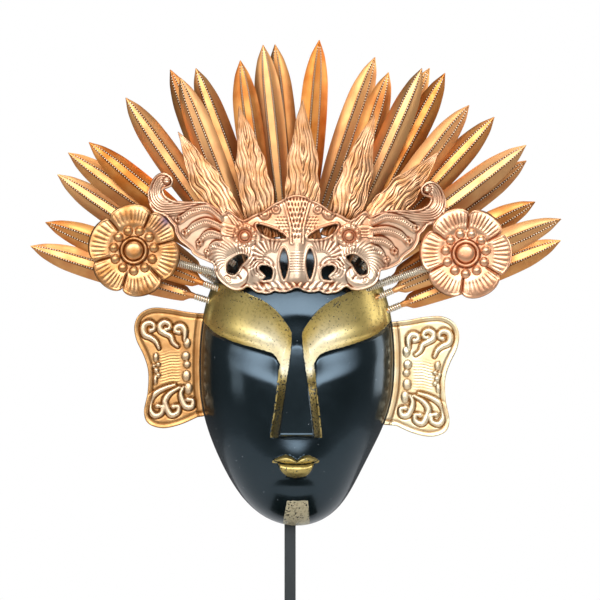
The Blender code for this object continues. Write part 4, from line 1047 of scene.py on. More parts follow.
def smoothLoop(points, steps):
    # A closed outline through given points, rounded between them
    p1 = np.array(points, float)
    p0 = np.roll(p1, 1, axis=0)
    p2 = np.roll(p1, -1, axis=0)
    p3 = np.roll(p1, -2, axis=0)
    u = (np.arange(steps) / steps)[None, :, None]
    p0, p1, p2, p3 = (p[:, None, :] for p in (p0, p1, p2, p3))
    found = (2 * p1 + (p2 - p0) * u + (2 * p0 - 5 * p1 + 4 * p2 - p3) * u**2
             + (3 * p1 - p0 - 3 * p2 + p3) * u**3) / 2
    return found.reshape(-1, 2)


def smoothLine(points, steps=10):
    # An open line through given points, rounded between them
    points = np.array(points, float)
    along = np.arange(len(points))
    places = np.linspace(0, len(points) - 1, steps * (len(points) - 1) + 1)
    return np.stack([curveAt(np.stack((along, points[:, k]), -1), places) for k in (0, 1)], -1)


def lineDistance(points, line, closed=False):
    # For each point: distance to the line, how far along the line, and its signed offset to the line's left
    ends = np.roll(line, -1, axis=0) if closed else line[1:]
    starts = line if closed else line[:-1]
    best = np.full(len(points), 1e9)
    along = np.zeros(len(points))
    offset = np.zeros(len(points))
    travelled = 0.0
    for a, b in zip(starts, ends):
        span = b - a
        length = math.hypot(*span)
        if length < 1e-9:
            continue
        heading = span / length
        reach = np.clip((points - a) @ heading, 0.0, length)
        gap = points - (a + reach[:, None] * heading)
        distance = np.hypot(gap[:, 0], gap[:, 1])
        nearer = distance < best
        best = np.where(nearer, distance, best)
        along = np.where(nearer, travelled + reach, along)
        offset = np.where(nearer, heading[0] * gap[:, 1] - heading[1] * gap[:, 0], offset)
        travelled += length
    return best, along, offset


def spacedLoop(loop, spacing):
    # A closed outline with points at about even distances
    closed = np.vstack((loop, loop[:1]))
    lengths = np.hypot(*np.diff(closed, axis=0).T)
    travelled = np.concatenate(([0.0], np.cumsum(lengths)))
    count = max(int(travelled[-1] / spacing), 6)
    places = np.arange(count) * travelled[-1] / count
    return np.stack([np.interp(places, travelled, closed[:, k]) for k in (0, 1)], -1)


def cutPlate(outline, holes, spacing):
    # Fine triangles of a flat pierced plate: its points, triangles, and distance of each point from an edge
    loops = [spacedLoop(np.array(loop), spacing) for loop in (outline, *holes)]
    edges = []
    start = 0
    for loop in loops:
        edges += [(start + i, start + (i + 1) % len(loop)) for i in range(len(loop))]
        start += len(loop)
    low = loops[0].min(axis=0)
    high = loops[0].max(axis=0)
    row = spacing * 0.87
    ys = np.arange(low[1] + row / 2, high[1], row)
    xs = np.arange(low[0], high[0], spacing)
    gridY, gridX = np.meshgrid(ys, xs, indexing="ij")
    gridX = gridX + (np.arange(len(ys)) % 2)[:, None] * spacing / 2
    inner = np.stack((gridX.ravel(), gridY.ravel()), -1)
    keep = insideOutline(inner, loops[0])
    for hole in loops[1:]:
        keep &= ~insideOutline(inner, hole)
    inner = inner[keep]
    edgeDistance = np.min([lineDistance(inner, loop, closed=True)[0] for loop in loops], axis=0)
    inner = inner[edgeDistance > spacing * 0.55]
    points = np.vstack((*loops, inner))
    flat, _, triangles, _, _, _ = delaunay_2d_cdt([Vector(p) for p in points], edges, [], 1, 1e-9)
    flat = np.array([tuple(p) for p in flat])
    triangles = np.array([list(t) for t in triangles])
    middles = flat[triangles].mean(axis=1)
    keep = np.ones(len(triangles), bool)
    for hole in loops[1:]:
        keep &= ~insideOutline(middles, hole)
    return flat, triangles[keep]


def recessOf(heights, triangles, rounds, depth):
    # How far each point lies below the plate around it, as a share of this depth
    edges = np.vstack((triangles[:, :2], triangles[:, 1:], triangles[:, ::2]))
    around = heights.copy()
    count = np.bincount(edges.ravel(), minlength=len(heights)).clip(1)
    for _ in range(rounds):
        total = np.bincount(edges[:, 0], around[edges[:, 1]], len(heights))
        total += np.bincount(edges[:, 1], around[edges[:, 0]], len(heights))
        around = total / count
    return np.clip((around - heights) / depth, 0.0, 1.0)


def plateShell(front, back, triangles):
    # Closes the front and the back of a plate along their edges
    count = len(front)
    faces = triangles.tolist() + (triangles[:, ::-1] + count).tolist()
    directed = {(int(t[i]), int(t[(i + 1) % 3])) for t in triangles for i in range(3)}
    faces += [[b, a, count + a, count + b] for a, b in directed if (b, a) not in directed]
    return np.vstack((front, back)), faces


# The diadem: a pierced and chased plate, bent around an upright cylinder

diademForm = {
    "halfSpan": 106.5 * mm,
    "thickness": 1.2 * mm,
    "sheet": 0.7 * mm,
    "footLevel": maskHeight * 0.82,
    "liftLeft": 6 * mm,
    "wingPaintedLight": 0.28,  # painted light: how much the wings lean towards the pale rubbed colour
    "wingAir": 3.5 * mm,
    "baseRelief": 2.4 * mm,
    "fineRelief": 0.9 * mm,
    "fullRecess": 0.45 * mm,  # as deep as this, a hollow gets the full painted shade
    "spacing": 0.46 * mm,
    "pinDiameter": 2.6 * mm,
    "pinSpread": 26 * mm,
    "pinLevel": 8 * mm,  # above the plate's foot
    "pinSocket": 5 * mm,
}
# Shares of the half span: across, and up from the foot; half of the outline, top middle to foot middle
diademOutline = (
    (0.0, 0.625), (0.05, 0.615), (0.11, 0.585), (0.16, 0.562), (0.22, 0.520), (0.29, 0.490), (0.35, 0.460),
    (0.40, 0.490), (0.455, 0.520), (0.485, 0.485), (0.53, 0.503), (0.60, 0.522), (0.68, 0.527),
    (0.76, 0.527), (0.82, 0.535), (0.87, 0.560), (0.890, 0.600), (0.865, 0.612), (0.830, 0.632),
    (0.825, 0.672), (0.855, 0.705), (0.90, 0.718), (0.945, 0.698), (0.98, 0.650), (1.0, 0.580),
    (0.993, 0.515), (0.965, 0.46), (0.92, 0.434), (0.875, 0.422), (0.845, 0.385), (0.820, 0.360),
    (0.810, 0.315), (0.780, 0.265), (0.740, 0.235), (0.705, 0.205), (0.690, 0.180), (0.640, 0.150),
    (0.585, 0.130), (0.553, 0.122), (0.545, 0.085), (0.520, 0.040), (0.47, 0.010), (0.41, -0.006),
    (0.36, -0.002), (0.322, 0.018), (0.28, -0.008), (0.235, -0.022), (0.185, -0.026), (0.145, -0.010),
    (0.10, -0.018), (0.05, -0.012), (0.0, 0.008),
)
diademHoles = (
    ((0.075, 0.340), (0.145, 0.395), (0.26, 0.425), (0.20, 0.350)),
    ((0.085, 0.270), (0.112, 0.180), (0.085, 0.070), (0.060, 0.170)),
    ((0.165, 0.140), (0.225, 0.160), (0.245, 0.135), (0.205, 0.090), (0.225, 0.065), (0.170, 0.075)),
    ((0.325, 0.215), (0.385, 0.225), (0.450, 0.175), (0.455, 0.110), (0.405, 0.105), (0.365, 0.165)),
)
wingBands = (  # crest lines of the wings' bands, from the rosette outwards
    ((0.50, 0.465), (0.59, 0.500), (0.69, 0.478), (0.775, 0.425)),
    ((0.50, 0.405), (0.60, 0.412), (0.69, 0.378), (0.730, 0.335)),
    ((0.50, 0.345), (0.565, 0.342), (0.62, 0.308), (0.650, 0.260)),
    ((0.49, 0.290), (0.54, 0.275), (0.575, 0.235), (0.585, 0.195)),
)
chasing = {
    # One side of the middle crest
    "crest": ((0.033, 0.309), (0.037, 0.409), (0.054, 0.487), (0.074, 0.560), (0.092, 0.610)),
    "eyeRing": (0.1365, 0.528),
    "cap": (0.212, 0.498),
    "lobe": ((0.262, 0.425), (0.256, 0.350), (0.250, 0.285)),
    "rosette": (0.342, 0.352),
    "petalBeads": (12, 0.061, 0.0135),  # how many around the rosette, on what ring, and how large
    "block": ((0.425, 0.380), (0.468, 0.380)),
    "strokes": (0.396, 0.376, 0.357, 0.341),
    "tip": ((0.372, 0.425), (0.410, 0.475), (0.450, 0.512)),
    "bandEnds": ((0.790, 0.408), (0.742, 0.322), (0.641, 0.255), (0.589, 0.196)),
    "scroll": (0.415, 0.165, 0.110),
    "ball": (0.395, 0.088, 0.072),
    "spiral": (0.450, 0.064, 0.033),
    "slit": ((0.366, 0.074), (0.388, 0.098)),
    "hook": (0.227, 0.138),
    "fan": (0.163, 0.195),
    "horn": ((0.56, 0.482), (0.68, 0.492), (0.80, 0.484), (0.90, 0.492), (0.952, 0.545), (0.952, 0.615),
             (0.915, 0.672), (0.872, 0.668)),
    "hornEnd": (0.868, 0.662),
    "tickPitch": 0.0155,
    "flutePitch": 0.0165,
}


def roundForm(points, centre, radius):
    # A dome of this radius, one at its middle
    return roundTop(np.hypot(points[:, 0] - centre[0], points[:, 1] - centre[1]) / radius)


def ringForm(points, centre, radius, width):
    return bell(np.hypot(points[:, 0] - centre[0], points[:, 1] - centre[1]) - radius, width)


def waves(value, pitch):
    return 0.5 + 0.5 * np.cos(2 * math.pi * value / pitch)


def angleAround(points, centre):
    return np.arctan2(points[:, 1] - centre[1], points[:, 0] - centre[0])


def leatheredPatch(p):
    # Low places in the foot of the plate, with painted shade: in the middle, and inside each lower curl
    middle = bell(p[:, 0], 0.095) * bell(p[:, 1] - 0.040, 0.022)
    curl = bell(p[:, 0] - 0.225, 0.045) * bell(p[:, 1] - 0.038, 0.020)
    return np.maximum(middle, curl)


def staggered(x, y, pitchX, pitchY, wide, tall):
    # Small marks in staggered rows, one at the middle of each
    row = np.floor(y / pitchY)
    place = x / pitchX + 0.5 * (row % 2)
    return bell(place - np.round(place), wide) * bell(y / pitchY - row - 0.5, tall)


def diademHeights(points, rimDistance, holeDistance):
    # Height of the chased forms over the plate, in metres, and painted shade along chased lines and in low
    # places, from 0 to 1
    p = np.stack((np.abs(points[:, 0]), points[:, 1]), -1)
    across, up = p[:, 0], p[:, 1]
    base = bell(across, 0.048) * smoothStep(0.66, 0.50, up)
    fine = np.zeros(len(p))
    # painted shade along lines, rings, ticks and hollows
    drawnShade = np.zeros(len(p))

    widths, levels = np.array(chasing["crest"]).T
    crestWidth = np.interp(up, levels, widths)
    onRibs = smoothStep(0.052, 0.038, across) * smoothStep(0.10, 0.13, up) * smoothStep(0.262, 0.24, up)
    fine += onRibs * (waves(up, 0.0175) - 0.5) * 0.4
    drawnShade += onRibs * waves(up + 0.00875, 0.0175) ** 3 * 0.25
    dashes = staggered(points[:, 0], up, 0.022, 0.036, 0.21, 0.28) * smoothStep(0.325, 0.345, up)
    dashes = dashes * smoothStep(crestWidth + 0.002, crestWidth - 0.006, across)
    pits = staggered(points[:, 0], up, 0.021, 0.021, 0.22, 0.24) * smoothStep(0.345, 0.36, up)
    pits = pits * smoothStep(crestWidth + 0.006, crestWidth + 0.014, across) * smoothStep(0.15, 0.13, across)
    pits = pits * smoothStep(0.495, 0.475, up)
    fine -= dashes * 0.8 + pits * 0.5
    drawnShade += dashes * 0.85 + pits * 0.55
    crest = lineDistance(p, smoothLine(chasing["crest"]))[0]
    fine += bell(crest - 0.010, 0.006) * 0.6
    drawnShade += bell(crest, 0.005) * 0.5

    eye = chasing["eyeRing"]
    fine += ringForm(p, eye, 0.023, 0.006) * 0.9 + roundForm(p, eye, 0.011) * 0.8
    drawnShade += ringForm(p, eye, 0.0150, 0.004) * 0.6 + ringForm(p, eye, 0.033, 0.006) * 0.4
    cap = chasing["cap"]
    base = np.maximum(base, roundForm(p, cap, 0.036) * 0.6)
    rings = ringForm(p, cap, 0.022, 0.006) + ringForm(p, cap, 0.044, 0.005) * (up < cap[1])
    fine -= rings * 0.4
    drawnShade += rings * 0.5
    distance = lineDistance(p, smoothLine(chasing["lobe"]))[0]
    base = np.maximum(base, roundTop(distance / 0.020) * 0.55)
    drawnShade += bell(distance - 0.025, 0.005) * 0.45 * smoothStep(0.44, 0.42, up)

    rosette = chasing["rosette"]
    radius = np.hypot(across - rosette[0], up - rosette[1])
    count, beadRing, beadRadius = chasing["petalBeads"]
    nearest = np.round(angleAround(p, rosette) * count / (2 * math.pi)) * 2 * math.pi / count
    beadAcross, beadUp = rosette[0] + beadRing * np.cos(nearest), rosette[1] + beadRing * np.sin(nearest)
    bead = roundTop(np.hypot(across - beadAcross, up - beadUp) / beadRadius)
    onRosette = smoothStep(0.084, 0.076, radius)
    hollow = smoothStep(0.025, 0.030, radius) * smoothStep(0.048, 0.043, radius)
    base = np.maximum(base * (1.0 - onRosette), onRosette * 0.6)
    fine = fine * (1.0 - onRosette) + roundForm(p, rosette, 0.026) * 1.2 - hollow * 0.9 + bead * 1.0
    drawnShade = drawnShade * (1.0 - onRosette) + hollow * 0.40
    drawnShade += smoothStep(0.044, 0.049, radius) * smoothStep(0.082, 0.074, radius) * (bead <= 0.0) * 0.35

    beside = 1.0 - onRosette
    distance = lineDistance(p, np.array(chasing["block"]))[0]
    base = np.maximum(base, smoothStep(0.050, 0.040, distance) * 0.5 * beside)
    for level in chasing["strokes"]:
        stroke = bell(up - level, 0.0040) * smoothStep(0.416, 0.428, across)
        stroke = stroke * smoothStep(0.474, 0.462, across)
        fine -= stroke * 0.5
        drawnShade += stroke * 0.6
    distance, along, offset = lineDistance(p, smoothLine(chasing["tip"]))
    blade = smoothStep(0.048, 0.038, distance + along * 0.16) * beside * smoothStep(0.41, 0.43, up)
    lines = waves(offset, 0.0175) ** 3
    base = np.maximum(base, blade * 0.40)
    fine -= blade * lines * 0.6
    drawnShade += blade * lines * 0.45

    wing = np.zeros(len(p))
    for band in wingBands:
        drop = curveAt(band, across) - up
        reach = smoothStep(band[0][0] - 0.03, band[0][0] + 0.01, across)
        reach = reach * smoothStep(band[-1][0] + 0.020, band[-1][0] + 0.005, across)
        body = smoothStep(-0.008, 0.0, drop) * (1.0 - smoothStep(0.030, 0.056, drop))
        wing = np.maximum(wing, body * reach * 0.75)
        ticks = bell(drop - 0.025, 0.013) * waves(across * 1.15 + drop * 0.3, chasing["tickPitch"]) ** 2
        fine += reach * (bell(drop - 0.001, 0.006) * 0.9 - ticks * 0.5)
        # painted shade in the ticks, and a painted shadow line just above each crest
        drawnShade += reach * (ticks * 0.75 + bell(drop + 0.013, 0.009) * 0.7)
    base = np.maximum(base, wing)
    for spot in chasing["bandEnds"]:
        drawnShade = drawnShade * smoothStep(0.016, 0.026, np.hypot(across - spot[0], up - spot[1]))
        fine += ringForm(p, spot, 0.017, 0.006) * 0.9 - roundForm(p, spot, 0.009) * 0.6
        drawnShade += roundForm(p, spot, 0.009) * 0.75 + ringForm(p, spot, 0.027, 0.005) * 0.35

    ringX, ringUp, ringRadius = chasing["scroll"]
    ringGap = np.hypot(across - ringX, (up - ringUp) * 0.9) - ringRadius
    onRing = bell(ringGap, 0.044)
    ballX, ballUp, ballRadius = chasing["ball"]
    onBall = roundForm(p, (ballX, ballUp), ballRadius)
    spiralX, spiralUp, spiralRadius = chasing["spiral"]
    spiralGap = np.hypot(across - spiralX, up - spiralUp)
    onSpiral = smoothStep(spiralRadius, spiralRadius - 0.006, spiralGap)
    base = np.maximum(np.maximum(base, onRing), onBall * 0.9)
    turn = np.degrees(angleAround(p, (ringX, ringUp)))
    turn = np.where(turn < -90, turn + 360, turn)
    hatched = bell(ringGap, 0.040) * smoothStep(-50, -25, turn) * smoothStep(205, 180, turn)
    hatched = hatched * smoothStep(0.5, 0.2, onBall) * (1.0 - onSpiral) * beside
    lines = waves(turn + ringGap * 420, 13.0) ** 2
    fine += hatched * (0.4 - lines) * 0.8
    drawnShade += hatched * lines * 0.42
    coil = waves(spiralGap / 0.0155 + angleAround(p, (spiralX, spiralUp)) / (2 * math.pi), 1.0)
    fine += onSpiral * (coil - 0.5) * 0.7
    drawnShade += onSpiral * (1.0 - coil) ** 2 * 0.45
    slit = bell(lineDistance(p, np.array(chasing["slit"]))[0], 0.006)
    ballEdge = bell(np.hypot(across - ballX, up - ballUp) - ballRadius - 0.003, 0.006)
    ballEdge = ballEdge * smoothStep(0.38, 0.35, across)
    fine -= slit * 0.6 + ballEdge * 0.7
    drawnShade += slit * 0.7 + ballEdge * 0.65

    hook = chasing["hook"]
    side = np.degrees(angleAround(p, hook))
    for arcRadius in (0.038, 0.056, 0.078):
        arc = ringForm(p, hook, arcRadius, 0.006) * smoothStep(-60, -30, side) * smoothStep(178, 160, side)
        arc = arc * (across < 0.335)
        fine -= arc * 0.5
        drawnShade += arc * 0.5

    fanReach = np.hypot(across - chasing["fan"][0], up - chasing["fan"][1])
    fanTurn = np.degrees(angleAround(p, chasing["fan"]))
    onFan = smoothStep(0.050, 0.068, fanReach) * smoothStep(0.152, 0.135, fanReach)
    onFan = onFan * smoothStep(-12, -4, fanTurn) * smoothStep(122, 112, fanTurn)
    onFan = onFan * beside * smoothStep(0.9, 0.5, onRing)
    lines = waves(fanTurn, 14.0) ** 3
    base = np.maximum(base, onFan * 0.5)
    fine -= onFan * lines * 0.8
    drawnShade += onFan * lines * 0.5

    distance, along, offset = lineDistance(p, smoothLine(chasing["horn"]))
    widthHere = np.interp(along, (0.0, 0.10, 0.30, 0.50, 0.62), (0.016, 0.034, 0.058, 0.046, 0.030))
    horn = roundTop(distance / widthHere) * smoothStep(0.56, 0.66, across)
    base = np.maximum(base, horn * 0.62)
    lines = horn * smoothStep(0.04, 0.12, along) * waves(offset + along * 0.10, chasing["flutePitch"]) ** 2
    fine -= lines * 0.7
    drawnShade += lines * 0.40
    endRing = ringForm(p, chasing["hornEnd"], 0.028, 0.005)
    fine += roundForm(p, chasing["hornEnd"], 0.024) * 0.8 - endRing * 0.7
    drawnShade += endRing * 0.5

    curls = waves(across * 1.1 - up * 0.8, 0.050)
    fringe = smoothStep(0.060, 0.040, up) * smoothStep(0.335, 0.30, across)
    fine += fringe * (curls - 0.5) * 0.7
    drawnShade += fringe * (1.0 - curls) ** 3 * 0.35
    patch = leatheredPatch(p)
    fine += bell(rimDistance - 0.008, 0.0065) * 0.9 - bell(rimDistance - 0.020, 0.006) * 0.35
    fine += bell(holeDistance - 0.010, 0.007) * 0.9 - patch * 0.8
    drawnShade += patch * 0.6 + bell(rimDistance - 0.020, 0.005) * 0.3 + bell(holeDistance - 0.021, 0.005) * 0.3
    away = smoothStep(0.0, 0.010, np.minimum(rimDistance, holeDistance))
    heights = diademForm["baseRelief"] * base * away * 0.92 + diademForm["fineRelief"] * fine
    return heights, np.clip(drawnShade, 0.0, 1.0)


def diademDepth():
    # Depth of the drawing's middle: the plate just clears the forehead behind its lower edge
    lowest = diademForm["footLevel"] + diademForm["halfSpan"] * min(up for _, up in diademOutline)
    x, z = np.meshgrid(diademForm["halfSpan"] * 0.5 * np.arange(9) / 8,
                       lowest + (maskHeight - lowest) * np.arange(7) / 6)
    return float(frontDepth(x, z).max()) + diademForm["thickness"] + maskPlace["fitGap"]


plateDepth = diademDepth()
sag = max(plateDepth - diademForm["thickness"] - featherFront - diademForm["wingAir"], 0.001)
bendRadius = (diademForm["halfSpan"] ** 2 + sag**2) / (2 * sag)


def bent(x, z, forward):
    # A point of the flat drawing, at x along the plate and forward of it, on the bent plate
    angle = np.asarray(x) / bendRadius
    reach = bendRadius + forward
    return np.stack((np.sin(angle) * reach, bendRadius - plateDepth - np.cos(angle) * reach,
                     np.asarray(z) + angle * 0.0), -1)


def roundBar(start, end, radius, sides=14):
    # A straight round bar between two points
    along = (end - start).normalized()
    across, out = frameOf(along) if abs(along.y) < 0.9 else (Vector((1.0, 0.0, 0.0)), Vector((0.0, 0.0, 1.0)))
    points = []
    for centre in (start, end):
        points += circleAround(centre, across, out, radius, sides)
    return points, tubeFaces(2, sides)


def makeDiadem():
    half = diademForm["halfSpan"]
    right = np.array(diademOutline)
    left = right[-2:0:-1] * (-1, 1)
    outline = smoothLoop(np.vstack((right, left)), 4)
    holes = []
    for side in (1, -1):
        holes += [smoothLoop(hole, 6) * (side, 1) for hole in diademHoles]
    flat, triangles = cutPlate(outline, holes, diademForm["spacing"] / half)
    rim = lineDistance(flat, outline, closed=True)[0]
    pierced = np.min([lineDistance(flat, hole, closed=True)[0] for hole in holes], axis=0)
    heights, drawnShade = diademHeights(flat, rim, pierced)
    # painted shade: the plate's recesses together with the drawn shade lines
    recessShade = np.clip(recessOf(heights, triangles, 9, diademForm["fullRecess"]) * 0.6 + drawnShade * 0.8, 0.0, 1.0)
    across, up = np.abs(flat[:, 0]), flat[:, 1]
    # painted highlight: paler towards the lower middle, and painted light on the wings
    rubbed = smoothStep(0.40, 0.20, up) * smoothStep(0.60, 0.50, across) * 0.65
    rubbed = rubbed + smoothStep(0.45, 0.60, across) * diademForm["wingPaintedLight"]
    rubbed = rubbed * (1.0 - leatheredPatch(np.stack((across, up), -1)))
    lift = diademForm["liftLeft"] * smoothStep(0.40, 0.62, -flat[:, 0])  # one wing stands a little higher
    x = flat[:, 0] * half
    z = diademForm["footLevel"] + up * half + lift
    front = bent(x, z, heights)
    back = bent(x, z, heights - diademForm["sheet"])
    vertices, faces = plateShell(front, back, triangles)
    pins = []
    for side in (-1, 1):
        pinZ = diademForm["footLevel"] + diademForm["pinLevel"]
        head = Vector(bent(side * diademForm["pinSpread"], pinZ, -diademForm["sheet"]))
        mouth = float(frontDepth(head.x, pinZ))
        pins.append(roundBar(head, Vector((head.x, diademForm["pinSocket"] - mouth, pinZ)),
                             diademForm["pinDiameter"] / 2))
    count = len(vertices)
    vertices, faces = joinSurfaces(((vertices, faces), *pins))
    rest = len(vertices) - count
    shade = np.concatenate((recessShade, recessShade * 0.3 + 0.4, np.full(rest, 0.5)))
    rubbed = np.concatenate((rubbed, rubbed * 0.0, np.zeros(rest)))
    diadem = addSurface("diademSheet", np.array(vertices) + chinPoint, faces, chasedMaterial,
                        {"recessShade": shade, "rubbed": rubbed})
    dress(diadem, "pale_copper", "diadem")


makeDiadem()
print("diadem made")


# Leaves behind the diadem: flame-veined blades on tangs

leafForm = {
    "width": 25.5 * mm,
    "thickness": 1.0 * mm,
    "ridge": 1.4 * mm,
    "flameLines": 3.3,  # grooves across half a blade
    "flameClimb": 2.4,  # grooves that reach the edge between foot and tip
    "flameDepth": 0.65 * mm,
    "hairLines": 0.14 * mm,
    "fullRecess": 0.22 * mm,
    "notchDepth": 0.08,
    "lean": 10 * mm,  # how far a tang comes forward from the wood to its leaf
    "baseLevel": maskHeight - 2 * mm,
    "rootPitch": 17.5 * mm,
    "socket": 5.5 * mm,
    "tangDiameter": 2.4 * mm,
    "columns": 61,
    "rows": 130,
}
leafWidths = ((0.0, 1.10), (0.13, 0.92), (0.25, 0.94), (0.37, 1.0), (0.47, 0.86), (0.57, 0.90),
              (0.68, 0.66), (0.81, 0.44), (0.91, 0.22), (1.0, 0.02))
# Left to right: tip across and above the mask in mm, heading of the blade in degrees, depth row, 0 behind
leaves = ((-85, 74, 120, 1), (-41, 92, 101, 0), (4, 96, 90, 1), (55, 87, 74, 0), (102, 60, 47, 1))


def rootOnTop(x, depth):
    # The point above the forehead where the wood comes down to this depth
    return Vector((x, -depth, woodReach((x, 0.0), (0.0, 1.0), maskHeight / 2, maskHeight, depth)))


def makeLeaf(number, tipAcross, tipUp, heading, row):
    layer = leafForm["ridge"] + leafForm["thickness"] + featherForm["air"]
    back = diademForm["thickness"] + layer * (1.5 - row)
    angle = math.radians(heading)
    tip = np.array((tipAcross * mm, maskHeight + tipUp * mm))
    blade = (tip[1] - leafForm["baseLevel"]) / math.sin(angle)
    base = tip - np.array((math.cos(angle), math.sin(angle))) * blade
    side = np.array((math.sin(angle), -math.cos(angle)))
    share, across = np.meshgrid(np.linspace(0.0, 1.0, leafForm["rows"]),
                                np.linspace(-1.0, 1.0, leafForm["columns"]), indexing="ij")
    phase = number * 1.7
    mirrored = np.sign(across) * (0.3 if number % 2 else -0.4)
    wobble = 0.50 * np.sin(share * 9 + across * 1.8 + phase + mirrored)
    wobble = wobble + 0.26 * np.sin(share * 21 - across * 3.1 + phase * 2)
    wobble = wobble + 0.10 * np.sin(share * 47 + across * 5)

    def flames(outwards):
        # Rounded tongues between narrow grooves that run up the blade and out to its edge
        place = outwards * leafForm["flameLines"] - share * leafForm["flameClimb"] + wobble
        return np.abs(np.sin(math.pi * place)) ** 0.42, place

    notches = (1.0 - flames(1.0)[0]) * leafForm["notchDepth"] * smoothStep(0.0, 0.1, share) * (share < 0.95)
    width = curveAt(leafWidths, share) * (1.0 - notches * np.abs(across) ** 3)
    half = leafForm["width"] / 2 * width
    offset = across * half
    edgeShare = (1.0 - np.abs(across)) * half
    border = bell(edgeShare - 0.5 * mm, 0.45 * mm) * 0.3 * mm
    filled = np.maximum(width, 0.3)
    swell = leafForm["ridge"] * (0.5 - np.clip((np.abs(across) - 0.35) / 0.65, 0.0, 1.0)) * filled
    fade = smoothStep(0.0, 0.8 * mm, edgeShare) * np.minimum(width * 1.8, 1.0)
    midrib = bell(offset, 0.5 * mm) * 0.35 * mm
    tongues, place = flames(np.abs(across))
    deep = 0.75 + 0.25 * np.sin(share * 13 + across * 2 + phase)
    carved = leafForm["flameDepth"] * deep * (tongues - 0.8)
    carved = carved + leafForm["hairLines"] * np.sin(math.pi * 6 * place)
    height = swell + (carved + midrib) * fade + border
    sway = 0.5 * mm * np.sin(share * 14 + phase) * share
    flatX = base[0] + (tip - base)[0] * share + side[0] * (offset + sway)
    flatZ = base[1] + (tip - base)[1] * share + side[1] * (offset + sway)
    front = bent(flatX, flatZ, height - back)
    thick = leafForm["thickness"] * 0.7 * filled
    behind = bent(flatX, flatZ, height - back - thick)
    rows, columns = share.shape
    ring = np.concatenate((front, behind[:, ::-1]), axis=1)
    faces = tubeFaces(rows, 2 * columns)

    index = np.arange(rows * columns).reshape(rows, columns)
    triangles = gridTriangles(rows, columns)
    recessShade = recessOf((height - swell).ravel(), triangles, 9, leafForm["fullRecess"])[index]
    recessShade = np.clip(recessShade + smoothStep(0.26, 0.17, share) * 0.8, 0.0, 1.0)  # painted shade on the foot, hidden behind the diadem
    shade = np.concatenate((recessShade, recessShade[:, ::-1] * 0.3 + 0.4), axis=1).ravel()

    basePoint = Vector(bent(base[0], base[1], -back))
    middle = (len(leaves) - 1) / 2
    root = rootOnTop(leafForm["rootPitch"] * (number - 1 - middle), -basePoint.y - leafForm["lean"])
    tang = (basePoint - root).normalized()
    bar = roundBar(root - tang * leafForm["socket"], basePoint + tang * 1.5 * mm,
                   leafForm["tangDiameter"] / 2, 12)
    vertices, faces = joinSurfaces(((ring.reshape(-1, 3), faces), bar))
    shade = np.concatenate((shade, np.full(len(vertices) - len(shade), 0.3)))
    piece = addSurface(f"flameLeaf{number}", np.array(vertices) + chinPoint, faces, leafMaterial,
                       {"recessShade": shade})
    dress(piece, "pale_copper", f"leaf_{number}")


leafSheet = {
    "bright": "#e2b086",
    "warm": "#c88e5c",
    "rubbed": "#fff0d2",
    "recessShadeColour": "#5f2f10",
    "stain": "#5b4750",
    "roughness": (0.32, 0.44),
    "mottle": 10,
}
leafMaterial = sheetMetal("flame-chased copper", leafSheet)
for number, leaf in enumerate(leaves, start=1):
    makeLeaf(number, *leaf)
print("leaves made")


# Flowers and their springs

flowerForm = {
    "radius": 32.5 * mm,
    "thickness": 1.0 * mm,
    "dome": 4.5 * mm,
    "reach": 116 * mm,
    "offset": 2 * mm,
    "level": diademForm["footLevel"] + 26.5 * mm,
    "petals": 6,
    "flutesPerPetal": 9,
    "fluteDepth": 0.40 * mm,
    "fullRecess": 0.36 * mm,
    "overlap": 0.7 * mm,
    "beads": 11,
    "beadStart": math.radians(8),
    "beadRing": 14.2 * mm,
    "beadDiameter": 7.2 * mm,
    "beadHeight": 2.9 * mm,
    "columns": 360,
    "rows": 84,
}
# Height of the pressed form from the middle outwards, as shares of the radius and of the dome
flowerProfile = ((0.0, 1.0), (0.10, 0.97), (0.160, 0.84), (0.194, 0.62), (0.208, 0.42), (0.222, 0.41),
                 (0.242, 0.58), (0.262, 0.65), (0.284, 0.54), (0.304, 0.30), (0.37, 0.25), (0.50, 0.28),
                 (0.56, 0.38), (0.66, 0.44), (0.82, 0.50), (0.93, 0.40), (1.0, 0.06))
stainedPetal = {"side": -1, "angle": math.radians(43), "spread": math.radians(11)}
petalTurns = {  # middle of each petal in degrees, as the pressing has them
    -1: (90, 41, -14, -80, -134, 165),
    1: (112, 58, 0, -67, -125, 178),
}


def flowerCentre(side):
    reach = flowerForm["reach"] + side * flowerForm["offset"]
    depth = -float(bent(reach - flowerForm["radius"], flowerForm["level"], diademForm["baseRelief"])[1])
    depth += maskPlace["fitGap"] * 2
    return Vector((side * reach, -depth, flowerForm["level"] - side * flowerForm["offset"] / 2))


